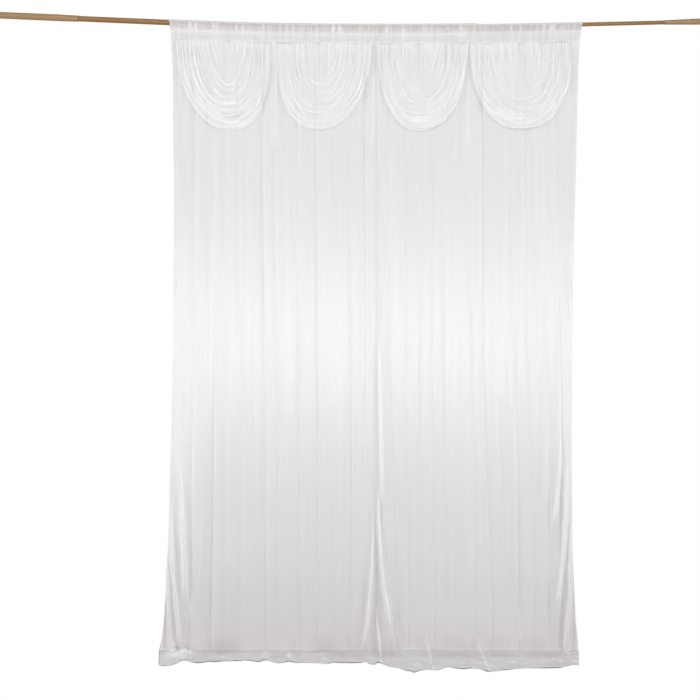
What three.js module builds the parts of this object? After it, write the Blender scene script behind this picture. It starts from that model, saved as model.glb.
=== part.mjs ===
import * as THREE from "three";

// Swagged backdrop curtain: two gathered panels of white satin and four swags on one bowed, telescopic rod.
// Millimetres. The front faces -Y, +X is to the right seen from the front, and the floor is z = 0.

// Rod: four round pieces that slide into each other and bow a little under the cloth
const rodHalfLength = 1640;
const rodDepth = 152;
const rodSides = 16;
const rodStation = 130;
const slideGap = 0.3;
const noseWall = 0.7;
const sleeve = { radius: 14.5, taperStart: -1305, end: -1224, socket: 70 };
const leftTube = { radius: 12, end: 540, socket: 90 };
const rightTube = { radius: 8.5 };
const narrowing = { start: 548, end: 600 };
const cap = { radius: 13, start: 1413, taperEnd: 1557, socket: 90 };
const bow = { low: 2800.5, softness: 300 };
const leftBow = { bend: -350, rise: 0.0448 };
const rightBow = { bend: 560, rise: 0.026 };

// Cloth
const clothThickness = 1.5;
const seat = 0.3;
const pocketDrop = 87;
const turnUnder = 10;
const pocketArcSteps = 5;
const seamClearance = 0.5;
const gather = { depth: 3, pitch: 46, drift: 310, driftPhase: 1.3, fadeStart: 2700, fadeEnd: 2300 };
const belly = { forward: 14, start: 620, crown: 260, end: 20, foot: 4 };
const floorBend = { radius: 16, steps: 3 };
const floorRows = [0.4, 0.8, 1];
const rowHeights = [2600, 2340, 2060, 1600, 1150, 780, 480, 290, 160, 80];
const panelColumns = 50;

// Edges of the two panels by height: the outer left, the two that meet in the middle, the outer right
const edges = [
  { height: 2850, left: -812, innerLeft: 122.8, innerRight: 124.2, right: 1045 },
  { height: 2720, left: -803, innerLeft: 122.8, innerRight: 124.2, right: 1033 },
  { height: 2600, left: -797, innerLeft: 122.8, innerRight: 124.2, right: 1026 },
  { height: 2340, left: -795, innerLeft: 122.8, innerRight: 124.2, right: 1021 },
  { height: 2060, left: -792, innerLeft: 129, innerRight: 122, right: 1014 },
  { height: 1600, left: -795, innerLeft: 133, innerRight: 121, right: 1003 },
  { height: 1150, left: -802, innerLeft: 135, innerRight: 121, right: 999 },
  { height: 480, left: -818, innerLeft: 131, innerRight: 118, right: 999 },
  { height: 160, left: -834, innerLeft: 122, innerRight: 121, right: 1013 },
  { height: 60, left: -846, innerLeft: 118, innerRight: 122, right: 1021 },
  { height: 0, left: -858, innerLeft: 118, innerRight: 122, right: 1026 },
];
const hemEdges = { left: -819, innerLeft: 117, innerRight: 121, right: 974 };

// Below the swags the left panel's inner edge lies behind the right panel's
const overlap = { depth: 5, width: 30, start: 2330, full: 2060, end: 100, gone: 60 };

// How far the hem lies out on the floor, measured forward from the rod
const hemReach = [
  { across: -820, reach: 228 },
  { across: -674, reach: 226 },
  { across: -600, reach: 182 },
  { across: -460, reach: 155 },
  { across: -390, reach: 182 },
  { across: -280, reach: 205 },
  { across: 68, reach: 202 },
  { across: 92, reach: 262 },
  { across: 119, reach: 205 },
  { across: 170, reach: 235 },
  { across: 222, reach: 273 },
  { across: 267, reach: 324 },
  { across: 350, reach: 300 },
  { across: 418, reach: 261 },
  { across: 500, reach: 275 },
  { across: 570, reach: 311 },
  { across: 700, reach: 276 },
  { across: 820, reach: 262 },
  { across: 975, reach: 255 },
];

// Creases down each panel: place across by height, depth above and below, half width
const creaseHeights = { seam: 2740, whole: 2500, top: 2400, middle: 1300, floor: 200 };
const leftCreases = [
  { top: -697, middle: -706, floor: -722, upper: 5, lower: 6, width: 13 },
  { top: -639, middle: -636, floor: -640, upper: 5, lower: 1, width: 12 },
  { top: -612, middle: -610, floor: -625, upper: 3, lower: 10, width: 13 },
  { top: -567, middle: -560, floor: -560, upper: 4, lower: 2, width: 12 },
  { top: -504, middle: -495, floor: -495, upper: 4, lower: 5, width: 13 },
  { top: -396, middle: -389, floor: -378, upper: 8, lower: 6, width: 12 },
  { top: -342, middle: -335, floor: -320, upper: 6, lower: 5, width: 12 },
  { top: -238, middle: -229, floor: -225, upper: 6, lower: 6, width: 13 },
  { top: -157, middle: -148, floor: -144, upper: 8, lower: 7, width: 12 },
  { top: -63, middle: -54, floor: -67, upper: 2, lower: 4, width: 13 },
  { top: -9, middle: 9, floor: 0, upper: 4, lower: 7, width: 13 },
  { top: 63, middle: 74, floor: 40, upper: 8, lower: 3, width: 12 },
];
const rightCreases = [
  { top: 184, middle: 175, floor: 218, upper: 3, lower: 5, width: 12 },
  { top: 256, middle: 256, floor: 262, upper: 4, lower: 6, width: 12 },
  { top: 315, middle: 319, floor: 310, upper: 4, lower: 6, width: 12 },
  { top: 378, middle: 369, floor: 380, upper: 5, lower: 6, width: 12 },
  { top: 432, middle: 427, floor: 430, upper: 4, lower: 6, width: 12 },
  { top: 540, middle: 553, floor: 558, upper: 2, lower: 4, width: 13 },
  { top: 598, middle: 598, floor: 640, upper: 9, lower: 6, width: 12 },
  { top: 688, middle: 670, floor: 702, upper: 3, lower: 3, width: 13 },
  { top: 742, middle: 750, floor: 765, upper: 4, lower: 8, width: 12 },
  { top: 787, middle: 800, floor: 828, upper: 7, lower: 5, width: 12 },
  { top: 868, middle: 895, floor: 900, upper: 4, lower: 6, width: 13 },
  { top: 922, middle: 951, floor: 958, upper: 5, lower: 12, width: 12 },
];

// Cone folds that grow towards the floor near the panels' edges: head, foot, rise at the foot, half width
const coneFade = 1.5;
const leftCones = [
  { headX: -758, headZ: 930, footX: -738, footZ: 300, rise: 15, width: 15 },
  { headX: -800, headZ: 620, footX: -764, footZ: 40, rise: 17, width: 14 },
  { headX: -826, headZ: 300, footX: -806, footZ: 0, rise: 13, width: 13 },
  { headX: 112, headZ: 600, footX: 58, footZ: 10, rise: 28, width: 17 },
];
const rightCones = [
  { headX: 128, headZ: 760, footX: 184, footZ: 90, rise: 28, width: 17 },
  { headX: 128, headZ: 250, footX: 148, footZ: 0, rise: 16, width: 12 },
  { headX: 980, headZ: 760, footX: 932, footZ: 200, rise: 16, width: 14 },
  { headX: 992, headZ: 400, footX: 975, footZ: 0, rise: 19, width: 15 },
];

// Pleats of the hem that lie on the floor
const floorPleats = [
  { across: -700, rise: 16, width: 30 },
  { across: -360, rise: 8, width: 18 },
  { across: -255, rise: 7, width: 20 },
  { across: 88, rise: 12, width: 20 },
  { across: 300, rise: 12, width: 26 },
  { across: 545, rise: 9, width: 24 },
  { across: 950, rise: 9, width: 18 },
];

// Swags: side ends on the seam, place and height of the lowest point, roundness of the left and right side
const swags = [
  { name: "swag_1", left: -783, right: -356, low: -549, bottom: 2338, roundLeft: 2.0, roundRight: 2.6 },
  { name: "swag_2", left: -328, right: 99, low: -145, bottom: 2342, roundLeft: 2.7, roundRight: 2.1 },
  { name: "swag_3", left: 123, right: 531, low: 306, bottom: 2337, roundLeft: 2.3, roundRight: 2.3 },
  { name: "swag_4", left: 536, right: 999, low: 768, bottom: 2343, roundLeft: 2.2, roundRight: 2.5 },
];
const swagColumns = 18;
const swagSpread = 0.8;
const swagEndRise = 0.3;
const swagSwell = { forward: 15, fullAt: 0.95, hem: 13 };

// Ridges and troughs of a swag from the middle of its top edge out to its hem, as a share of the way
const swagFolds = [
  { share: 0.3, rise: 1 },
  { share: 0.37, rise: 4 },
  { share: 0.43, rise: 1 },
  { share: 0.49, rise: 5 },
  { share: 0.55, rise: 1 },
  { share: 0.62, rise: 6 },
  { share: 0.69, rise: 2 },
  { share: 0.76, rise: 7 },
  { share: 0.83, rise: 3 },
  { share: 0.9, rise: 6 },
  { share: 0.96, rise: 3 },
  { share: 1, rise: 2 },
];

const mix = (a, b, share) => a + (b - a) * share;
const smooth = (from, to, value) => THREE.MathUtils.smoothstep((value - from) / (to - from), 0, 1);
const bell = (distance, width) => Math.exp(-((distance / width) ** 2) / 2);
const softRamp = (distance) => (distance + Math.hypot(distance, bow.softness)) / 2;

// Value of a table's column between the rows whose key stands before and after the one asked for
function readTable(rows, key, column, value) {
  const rising = rows[rows.length - 1][key] > rows[0][key];
  const next = rows.findIndex((row) => (rising ? row[key] >= value : row[key] <= value));
  if (next < 0) return rows[rows.length - 1][column];
  if (next === 0) return rows[0][column];
  const before = rows[next - 1];
  const after = rows[next];
  return mix(before[column], after[column], (value - before[key]) / (after[key] - before[key]));
}

// Height of the rod's axis: three nearly straight stretches joined by soft bends
function rodHeight(x) {
  return bow.low + leftBow.rise * softRamp(leftBow.bend - x) + rightBow.rise * softRamp(x - rightBow.bend);
}

// A turned piece along X from its profile, lifted onto the bow with a ring of points at each station
function rodPiece(name, profile, material) {
  const points = [];
  profile.forEach((corner, index) => {
    const next = profile[index + 1] ?? corner;
    const steps = Math.max(1, Math.round(Math.abs(next.x - corner.x) / rodStation));
    for (let step = 0; step < steps; step += 1) {
      const share = step / steps;
      points.push(new THREE.Vector2(mix(corner.radius, next.radius, share), mix(corner.x, next.x, share)));
    }
  });
  const geometry = new THREE.LatheGeometry(points, rodSides).rotateZ(-Math.PI / 2);
  const position = geometry.attributes.position;
  for (let i = 0; i < position.count; i += 1) {
    position.setY(i, position.getY(i) + rodDepth);
    position.setZ(i, position.getZ(i) + rodHeight(position.getX(i)));
  }
  return namedMesh(name, geometry, material);
}

// The rod's four pieces, each with a blind socket that the thinner one slides into
function rodPieces(materials) {
  const sleeveBore = leftTube.radius + slideGap;
  const tubeBore = rightTube.radius + slideGap;
  const sleeveSocket = sleeve.end - sleeve.socket;
  const tubeSocket = leftTube.end - leftTube.socket;
  const capSocket = cap.start + cap.socket;
  return [
    rodPiece("rod_end_left", [
      { radius: 0, x: -rodHalfLength },
      { radius: sleeve.radius, x: -rodHalfLength },
      { radius: sleeve.radius, x: sleeve.taperStart },
      { radius: sleeveBore + noseWall, x: sleeve.end },
      { radius: sleeveBore, x: sleeve.end },
      { radius: sleeveBore, x: sleeveSocket },
      { radius: 0, x: sleeveSocket },
    ], materials.paleBronze),
    rodPiece("rod_left", [
      { radius: 0, x: sleeveSocket + slideGap },
      { radius: leftTube.radius, x: sleeveSocket + slideGap },
      { radius: leftTube.radius, x: leftTube.end },
      { radius: tubeBore, x: leftTube.end },
      { radius: tubeBore, x: tubeSocket },
      { radius: 0, x: tubeSocket },
    ], materials.darkBronze),
    rodPiece("rod_right", [
      { radius: 0, x: tubeSocket + slideGap },
      { radius: rightTube.radius, x: tubeSocket + slideGap },
      { radius: rightTube.radius, x: capSocket - slideGap },
      { radius: 0, x: capSocket - slideGap },
    ], materials.darkBronze),
    rodPiece("rod_end_right", [
      { radius: 0, x: capSocket },
      { radius: tubeBore, x: capSocket },
      { radius: tubeBore, x: cap.start },
      { radius: tubeBore + noseWall, x: cap.start },
      { radius: cap.radius, x: cap.taperEnd },
      { radius: cap.radius, x: rodHalfLength },
      { radius: 0, x: rodHalfLength },
    ], materials.paleBronze),
  ];
}

// Radius of the pocket's cloth, whose flats clear the tube inside; it narrows past the thicker tube's end
function pocketRadius(x) {
  const past = smooth(narrowing.start, narrowing.end, x);
  const clear = mix(leftTube.radius, rightTube.radius, past) + seat;
  return clear / Math.cos(Math.PI / (2 * pocketArcSteps)) + clothThickness / 2;
}

// Height of the seam that closes the pocket
function seamHeight(x) {
  return rodHeight(x) + pocketRadius(x) - pocketDrop;
}

// Small gathers of the pocket, never below zero, which die out under the swags
function gatherRise(x, height) {
  const drift = gather.driftPhase * Math.sin((2 * Math.PI * x) / gather.drift);
  const wave = (1 + Math.sin((2 * Math.PI * x) / gather.pitch + drift)) / 2;
  return gather.depth * wave * smooth(gather.fadeEnd, gather.fadeStart, height);
}

// Depth of all creases of a panel at one place, none at the pocket's seam
function creaseDepth(creases, x, height) {
  const { seam, whole, top, middle, floor } = creaseHeights;
  const lower = smooth(top, floor, height);
  const above = Math.max(0, height - middle) / (top - middle);
  const below = Math.min(middle - floor, Math.max(0, middle - height)) / (middle - floor);
  const depth = creases.reduce((sum, crease) => {
    const upperPlace = mix(crease.middle, crease.top, above);
    const place = height > middle ? upperPlace : mix(crease.middle, crease.floor, below);
    return sum + mix(crease.upper, crease.lower, lower) * bell(x - place, crease.width);
  }, 0);
  return depth * smooth(seam, whole, height);
}

// Rise of the cone folds at one place: none at the head, whole at the foot
function coneRise(cones, x, height) {
  return cones.reduce((sum, cone) => {
    const share = (cone.headZ - height) / (cone.headZ - cone.footZ);
    const grown = smooth(0, 1, share) * smooth(coneFade, 1, share);
    return sum + cone.rise * grown * bell(x - mix(cone.headX, cone.footX, share), cone.width);
  }, 0);
}

// Step forward or back of the two inner edges where they overlap
function overlapStep(panel, x, height) {
  const shown = smooth(overlap.start, overlap.full, height) * smooth(overlap.gone, overlap.end, height);
  const edge = readTable(edges, "height", panel.overlapEdge, height);
  return panel.overlapSide * overlap.depth * shown * smooth(overlap.width, 0, Math.abs(x - edge));
}

// One column of a panel from its turned-under edge, over the rod and down to the hem on the floor
function panelColumn(panel, across) {
  const edgeAt = (height) => mix(
    readTable(edges, "height", panel.from, height),
    readTable(edges, "height", panel.to, height),
    across,
  );
  const hangs = (forward, height) => {
    const x = edgeAt(height);
    const raised = gatherRise(x, height) + coneRise(panel.cones, x, height) + overlapStep(panel, x, height);
    const sunk = creaseDepth(panel.creases, x, height);
    return new THREE.Vector3(x, rodDepth - forward - raised + sunk, height);
  };
  const points = [];
  const top = edgeAt(edges[0].height);
  const radius = pocketRadius(top);
  const axis = rodHeight(top);
  const seam = seamHeight(top);
  const backLayer = -clothThickness - seamClearance;
  points.push(hangs(backLayer, seam - turnUnder), hangs(backLayer, seam + turnUnder));
  for (let step = 0; step <= pocketArcSteps; step += 1) {
    const angle = Math.PI * (1 - step / pocketArcSteps);
    const reach = radius + gatherRise(top, gather.fadeStart);
    points.push(new THREE.Vector3(top, rodDepth - reach * Math.cos(angle), axis + reach * Math.sin(angle)));
  }
  points.push(hangs(0, seam));
  const bellyAt = (height) => (height > belly.crown
    ? belly.forward * smooth(belly.start, belly.crown, height)
    : mix(belly.forward, belly.foot, smooth(belly.crown, belly.end, height)));
  rowHeights.forEach((height) => points.push(hangs(bellyAt(height), height)));

  const contact = edgeAt(0);
  const bendTop = hangs(bellyAt(floorBend.radius), floorBend.radius);
  for (let step = 1; step <= floorBend.steps; step += 1) {
    const share = step / floorBend.steps;
    const angle = (Math.PI / 2) * share;
    const forward = belly.foot + floorBend.radius * (1 - Math.cos(angle));
    const relief = (rodDepth - belly.foot - bendTop.y) * Math.cos(angle);
    const height = floorBend.radius * (1 - Math.sin(angle)) + clothThickness / 2;
    points.push(new THREE.Vector3(mix(edgeAt(height), contact, share), rodDepth - forward - relief, height));
  }
  const hemX = mix(hemEdges[panel.from], hemEdges[panel.to], across);
  const start = belly.foot + floorBend.radius;
  const reach = readTable(hemReach, "across", "reach", hemX);
  floorRows.forEach((share) => {
    const x = mix(contact, hemX, share);
    const pleat = floorPleats.reduce((sum, row) => sum + row.rise * bell(hemX - row.across, row.width), 0);
    const height = clothThickness / 2 + pleat * share * share;
    points.push(new THREE.Vector3(x, rodDepth - mix(start, reach, share), height));
  });
  return points;
}

// A gathered panel as one sheet
function panelMesh(name, panel, material) {
  const grid = [];
  for (let column = 0; column <= panelColumns; column += 1) {
    grid.push(panelColumn(panel, column / panelColumns));
  }
  return namedMesh(name, sheetSolid(grid), material);
}

// A swag as one sheet: its rows start as the straight top edge and open into nested, pleated curves
function swagMesh(swag, material) {
  const front = gather.depth + clothThickness + seat;
  const inner = swagFolds[0];
  const openFolds = swagFolds.map((fold) => ({ ...fold, drop: 1 }));
  const rows = [{ ...inner, drop: 0 }, { ...inner, drop: 0.5 }, ...openFolds];
  const grid = [];
  for (let column = 0; column <= swagColumns; column += 1) {
    const angle = Math.PI * (1 - column / swagColumns);
    const leftSide = Math.cos(angle) < 0;
    const power = 2 / (leftSide ? swag.roundLeft : swag.roundRight);
    const halfWidth = leftSide ? swag.left - swag.low : swag.right - swag.low;
    const sideways = Math.abs(Math.cos(angle)) ** power * halfWidth;
    const down = Math.sin(angle) ** power;
    grid.push(rows.map((row) => {
      const x = swag.low + sideways * row.share;
      const fall = (seamHeight(swag.low) - swag.bottom) * row.share ** swagSpread * row.drop * down;
      const swell = row.share < swagSwell.fullAt
        ? swagSwell.forward * smooth(0, swagSwell.fullAt, row.share * row.drop)
        : mix(swagSwell.forward, swagSwell.hem, smooth(swagSwell.fullAt, 1, row.share));
      const rise = row.rise * row.drop * mix(swagEndRise, 1, down);
      return new THREE.Vector3(x, rodDepth - front - swell * down - rise, seamHeight(x) - fall);
    }));
  }
  return namedMesh(swag.name, sheetSolid(grid), material);
}

// Closed sheet of the cloth's thickness round a grid of points, columns left to right and rows downwards
function sheetSolid(grid) {
  const places = [];
  const known = new Map();
  const numbered = grid.map((column) => column.map((point) => {
    const key = point.toArray().map((value) => value.toFixed(3)).join(" ");
    if (!known.has(key)) {
      known.set(key, places.length);
      places.push(point);
    }
    return known.get(key);
  }));
  const front = [];
  for (let column = 1; column < numbered.length; column += 1) {
    for (let row = 1; row < numbered[column].length; row += 1) {
      const upperLeft = numbered[column - 1][row - 1];
      const lowerLeft = numbered[column - 1][row];
      const upperRight = numbered[column][row - 1];
      const lowerRight = numbered[column][row];
      front.push([upperLeft, lowerLeft, upperRight], [upperRight, lowerLeft, lowerRight]);
    }
  }
  const faces = front.filter((face) => new Set(face).size === 3);
  const normals = places.map(() => new THREE.Vector3());
  faces.forEach(([a, b, c]) => {
    const ab = places[b].clone().sub(places[a]);
    const ac = places[c].clone().sub(places[a]);
    const normal = ab.cross(ac);
    [a, b, c].forEach((index) => normals[index].add(normal));
  });
  const half = clothThickness / 2;
  normals.forEach((normal) => normal.normalize());
  const frontPlaces = places.map((place, index) => place.clone().addScaledVector(normals[index], half));
  const backPlaces = places.map((place, index) => place.clone().addScaledVector(normals[index], -half));
  const count = places.length;
  const directed = new Set(faces.flatMap(([a, b, c]) => [`${a} ${b}`, `${b} ${c}`, `${c} ${a}`]));
  const walls = [];
  faces.forEach(([a, b, c]) => {
    [[a, b], [b, c], [c, a]].forEach(([from, to]) => {
      if (directed.has(`${to} ${from}`)) return;
      walls.push([to, from, from + count], [to, from + count, to + count]);
    });
  });
  const back = faces.map(([a, b, c]) => [a + count, c + count, b + count]);
  const geometry = new THREE.BufferGeometry().setFromPoints([...frontPlaces, ...backPlaces]);
  geometry.setIndex([...faces, ...back, ...walls].flat());
  geometry.computeVertexNormals();
  return geometry;
}

function namedMesh(name, geometry, material) {
  const mesh = new THREE.Mesh(geometry, material);
  mesh.name = name;
  return mesh;
}

const satin = new THREE.MeshStandardMaterial({ color: 0xf3f1f1, roughness: 0.42, metalness: 0 });
const bronze = {
  paleBronze: new THREE.MeshStandardMaterial({ color: 0xaa8963, roughness: 0.4, metalness: 0.2 }),
  darkBronze: new THREE.MeshStandardMaterial({ color: 0x9b7546, roughness: 0.4, metalness: 0.2 }),
};
const leftPanel = {
  from: "left",
  to: "innerLeft",
  creases: leftCreases,
  cones: leftCones,
  overlapEdge: "innerLeft",
  overlapSide: -1,
};
const rightPanel = {
  from: "innerRight",
  to: "right",
  creases: rightCreases,
  cones: rightCones,
  overlapEdge: "innerRight",
  overlapSide: 1,
};

const curtain = new THREE.Group();
curtain.add(...rodPieces(bronze));
curtain.add(panelMesh("panel_left", leftPanel, satin), panelMesh("panel_right", rightPanel, satin));
swags.forEach((swag) => curtain.add(swagMesh(swag, satin)));

export default curtain;
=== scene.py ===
"""Swagged backdrop curtain: two satin panels and four swags on a bowed telescopic rod.

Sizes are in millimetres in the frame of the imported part: +X to the right seen from the front, -Y
forward, +Z up, with the floor at zero. Meshes are written in metres.
"""
import logging
import math
from dataclasses import dataclass, field
from enum import Enum

import bmesh
import bpy
import numpy as np
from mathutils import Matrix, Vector


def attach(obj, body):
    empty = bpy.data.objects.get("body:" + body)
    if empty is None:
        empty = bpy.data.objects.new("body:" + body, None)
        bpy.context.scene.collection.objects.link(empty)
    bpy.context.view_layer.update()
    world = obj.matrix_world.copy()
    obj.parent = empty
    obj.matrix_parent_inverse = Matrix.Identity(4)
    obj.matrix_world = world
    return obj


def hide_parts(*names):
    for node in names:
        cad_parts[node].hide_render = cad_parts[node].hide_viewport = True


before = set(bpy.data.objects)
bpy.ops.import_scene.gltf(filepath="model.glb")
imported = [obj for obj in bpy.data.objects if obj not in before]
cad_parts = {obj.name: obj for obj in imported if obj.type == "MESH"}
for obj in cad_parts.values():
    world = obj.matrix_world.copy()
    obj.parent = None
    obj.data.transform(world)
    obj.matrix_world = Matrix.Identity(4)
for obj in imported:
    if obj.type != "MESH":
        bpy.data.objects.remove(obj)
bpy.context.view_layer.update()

LOG = logging.getLogger("curtain")
MM = 0.001
# How far the rod's axis lies behind the frame's origin.
ROD_DEPTH = 152.0
# Heights at which the panels' columns are set out, and at which the pocket's gathers are full.
POCKET_TOP = 2850.0
POCKET_FULL = 2700.0
Value = float | np.ndarray
Point = tuple[float, float]


def mix(a: Value, b: Value, share: Value) -> Value:
    """Value between a and b at that share of the way."""
    return a + (b - a) * share


def smooth(start: Value, end: Value, value: Value) -> np.ndarray:
    """Soft step from 0 at start to 1 at end."""
    share = np.clip((np.asarray(value, dtype=float) - start) / (end - start), 0.0, 1.0)
    return share * share * (3.0 - 2.0 * share)


def bell(distance: Value, width: Value) -> np.ndarray:
    """Round bump of height 1 with that half width."""
    return np.exp(-0.5 * (np.asarray(distance, dtype=float) / width) ** 2)


def table(kind: type, *rows: tuple) -> tuple:
    """One thing of that kind for each row of its sizes."""
    return tuple(kind(*row) for row in rows)


def row_of(x: Value, forward: Value, z: Value) -> np.ndarray:
    """Row of points from their places across, forward of the rod's axis, and up."""
    return np.stack(np.broadcast_arrays(x, ROD_DEPTH - forward, z), axis=1).astype(float)


def linear_colour(hex_colour: str) -> tuple[float, float, float, float]:
    """Linear colour with full alpha from an sRGB hex value."""
    channels = [int(hex_colour[i : i + 2], 16) / 255 for i in (1, 3, 5)]
    linear = [c / 12.92 if c <= 0.04045 else ((c + 0.055) / 1.055) ** 2.4 for c in channels]
    return (*linear, 1.0)


class Unevenness:
    """Smooth random relief between -1 and 1 on a lattice, the same on every run."""

    LATTICE = 128

    def __init__(self, seed: int, across: float, along: float) -> None:
        """Keep the lattice.

        Args:
            seed: Number that fixes the lattice.
            across: Lattice pitch of the first coordinate in millimetres.
            along: Lattice pitch of the second coordinate in millimetres.
        """
        self.values = np.random.default_rng(seed).uniform(-1.0, 1.0, (self.LATTICE, self.LATTICE))
        self.across = across
        self.along = along

    def at(self, x: Value, y: Value) -> np.ndarray:
        """Relief at each pair of coordinates.

        Args:
            x: First coordinate in millimetres.
            y: Second coordinate in millimetres.

        Returns:
            Values between -1 and 1.
        """
        x = np.asarray(x, dtype=float) / self.across
        y = np.asarray(y, dtype=float) / self.along
        x, y = np.broadcast_arrays(x, y)
        left, low = np.floor(x).astype(int), np.floor(y).astype(int)
        past_left, past_low = smooth(0.0, 1.0, x - left), smooth(0.0, 1.0, y - low)
        left, right = left % self.LATTICE, (left + 1) % self.LATTICE
        low, high = low % self.LATTICE, (low + 1) % self.LATTICE
        lower = mix(self.values[left, low], self.values[right, low], past_left)
        upper = mix(self.values[left, high], self.values[right, high], past_left)
        return mix(lower, upper, past_low)


def crushed(seed: int, pitch: float, x: Value, z: Value) -> np.ndarray:
    """Crisp random ridges and dents, like cloth crushed in the hand.

    Args:
        seed: Number that fixes them.
        pitch: Rough distance between ridges in millimetres.
        x: Places across.
        z: Places along.

    Returns:
        Values between about -1 and 1.
    """
    broad = Unevenness(seed, pitch, pitch * 1.6).at(x + 0.35 * z, z)
    sharp = Unevenness(seed + 1, pitch * 0.55, pitch * 0.9).at(x - 0.3 * z, z)
    return (1.0 - 2.4 * np.abs(broad)) * 0.7 + (0.8 - 2.0 * np.abs(sharp)) * 0.4


def grid_faces(rows: int, columns: int) -> np.ndarray:
    """Quads of a grid of points, facing the front when its rows run down.

    Args:
        rows: Number of rows.
        columns: Number of points in each row.

    Returns:
        Four point numbers for each face.
    """
    row, column = np.meshgrid(np.arange(rows - 1), np.arange(columns - 1), indexing="ij")
    upper_left = (row * columns + column).ravel()
    return np.stack([upper_left, upper_left + columns, upper_left + columns + 1, upper_left + 1], axis=1)


def link(obj: bpy.types.Object) -> bpy.types.Object:
    """Put an object in the scene and give it back."""
    bpy.context.scene.collection.objects.link(obj)
    return obj


def mesh_object(
    name: str, points: np.ndarray, faces: np.ndarray | list, uv: np.ndarray | None = None
) -> bpy.types.Object:
    """Smooth-shaded mesh object.

    Args:
        name: Name of the object and its mesh.
        points: Places in millimetres, one row each.
        faces: Lists of point numbers.
        uv: Place on the flat cloth in metres for each point, or None.

    Returns:
        The object, at the origin.
    """
    mesh = bpy.data.meshes.new(name)
    mesh.from_pydata((np.asarray(points) * MM).tolist(), [], np.asarray(faces).tolist())
    mesh.update()
    mesh.shade_smooth()
    if uv is not None:
        layer = mesh.uv_layers.new(name="cloth")
        corners = np.empty(len(mesh.loops), dtype=np.int32)
        mesh.loops.foreach_get("vertex_index", corners)
        layer.data.foreach_set("uv", uv[corners].astype(np.float32).ravel())
    return link(bpy.data.objects.new(name, mesh))


def sheet_object(
    name: str,
    grid: np.ndarray,
    flat: Point,
    thickness: float,
    share: np.ndarray,
    traits: dict[str, Value],
) -> bpy.types.Object:
    """Thin closed sheet over a grid of points.

    Args:
        name: Name of the object.
        grid: Points in millimetres, rows by columns by three.
        flat: Width and length that the sheet was cut to, in metres.
        thickness: Thickness of the cloth in millimetres.
        share: Share of the cut width for each column.
        traits: Values that the satin reads at each point: cover, dim (painted shade and rod tint) and
            painted_shadow.

    Returns:
        The sheet's object.
    """
    rows, columns = grid.shape[:2]
    down = np.zeros((rows, columns))
    down[1:] = np.cumsum(np.linalg.norm(np.diff(grid, axis=0), axis=2), axis=0) * MM
    across = np.broadcast_to(share * flat[0], (rows, columns))
    uv = np.stack([across, down], axis=2).reshape(-1, 2)
    obj = mesh_object(name, grid.reshape(-1, 3), grid_faces(rows, columns), uv)
    for trait, values in traits.items():
        values = np.broadcast_to(np.asarray(values, dtype=np.float32), (rows, columns)).ravel()
        obj.data.attributes.new(trait, "FLOAT", "POINT").data.foreach_set("value", values)
    solid = obj.modifiers.new("cloth thickness", "SOLIDIFY")
    solid.thickness = thickness * MM
    solid.offset = 0.0
    return obj


def add_node(
    tree: bpy.types.NodeTree, kind: str, links: dict[str | int, object] | None = None, **settings: object
) -> bpy.types.Node:
    """Add a node with its settings, input values and links.

    Args:
        tree: Node tree to add to.
        kind: Node type name.
        links: Input name or number to a value or to an output socket.
        **settings: Attributes of the node.

    Returns:
        The new node.
    """
    node = tree.nodes.new(kind)
    for key, value in settings.items():
        setattr(node, key, value)
    for key, value in (links or {}).items():
        if isinstance(value, bpy.types.NodeSocket):
            tree.links.new(value, node.inputs[key])
        else:
            node.inputs[key].default_value = value
    return node


def new_material(name: str) -> tuple[bpy.types.Material, bpy.types.NodeTree]:
    """Empty node material.

    Args:
        name: Name of the real material.

    Returns:
        The material and its tree.
    """
    material = bpy.data.materials.new(name)
    material.use_nodes = True
    material.node_tree.nodes.clear()
    return material, material.node_tree


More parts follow.
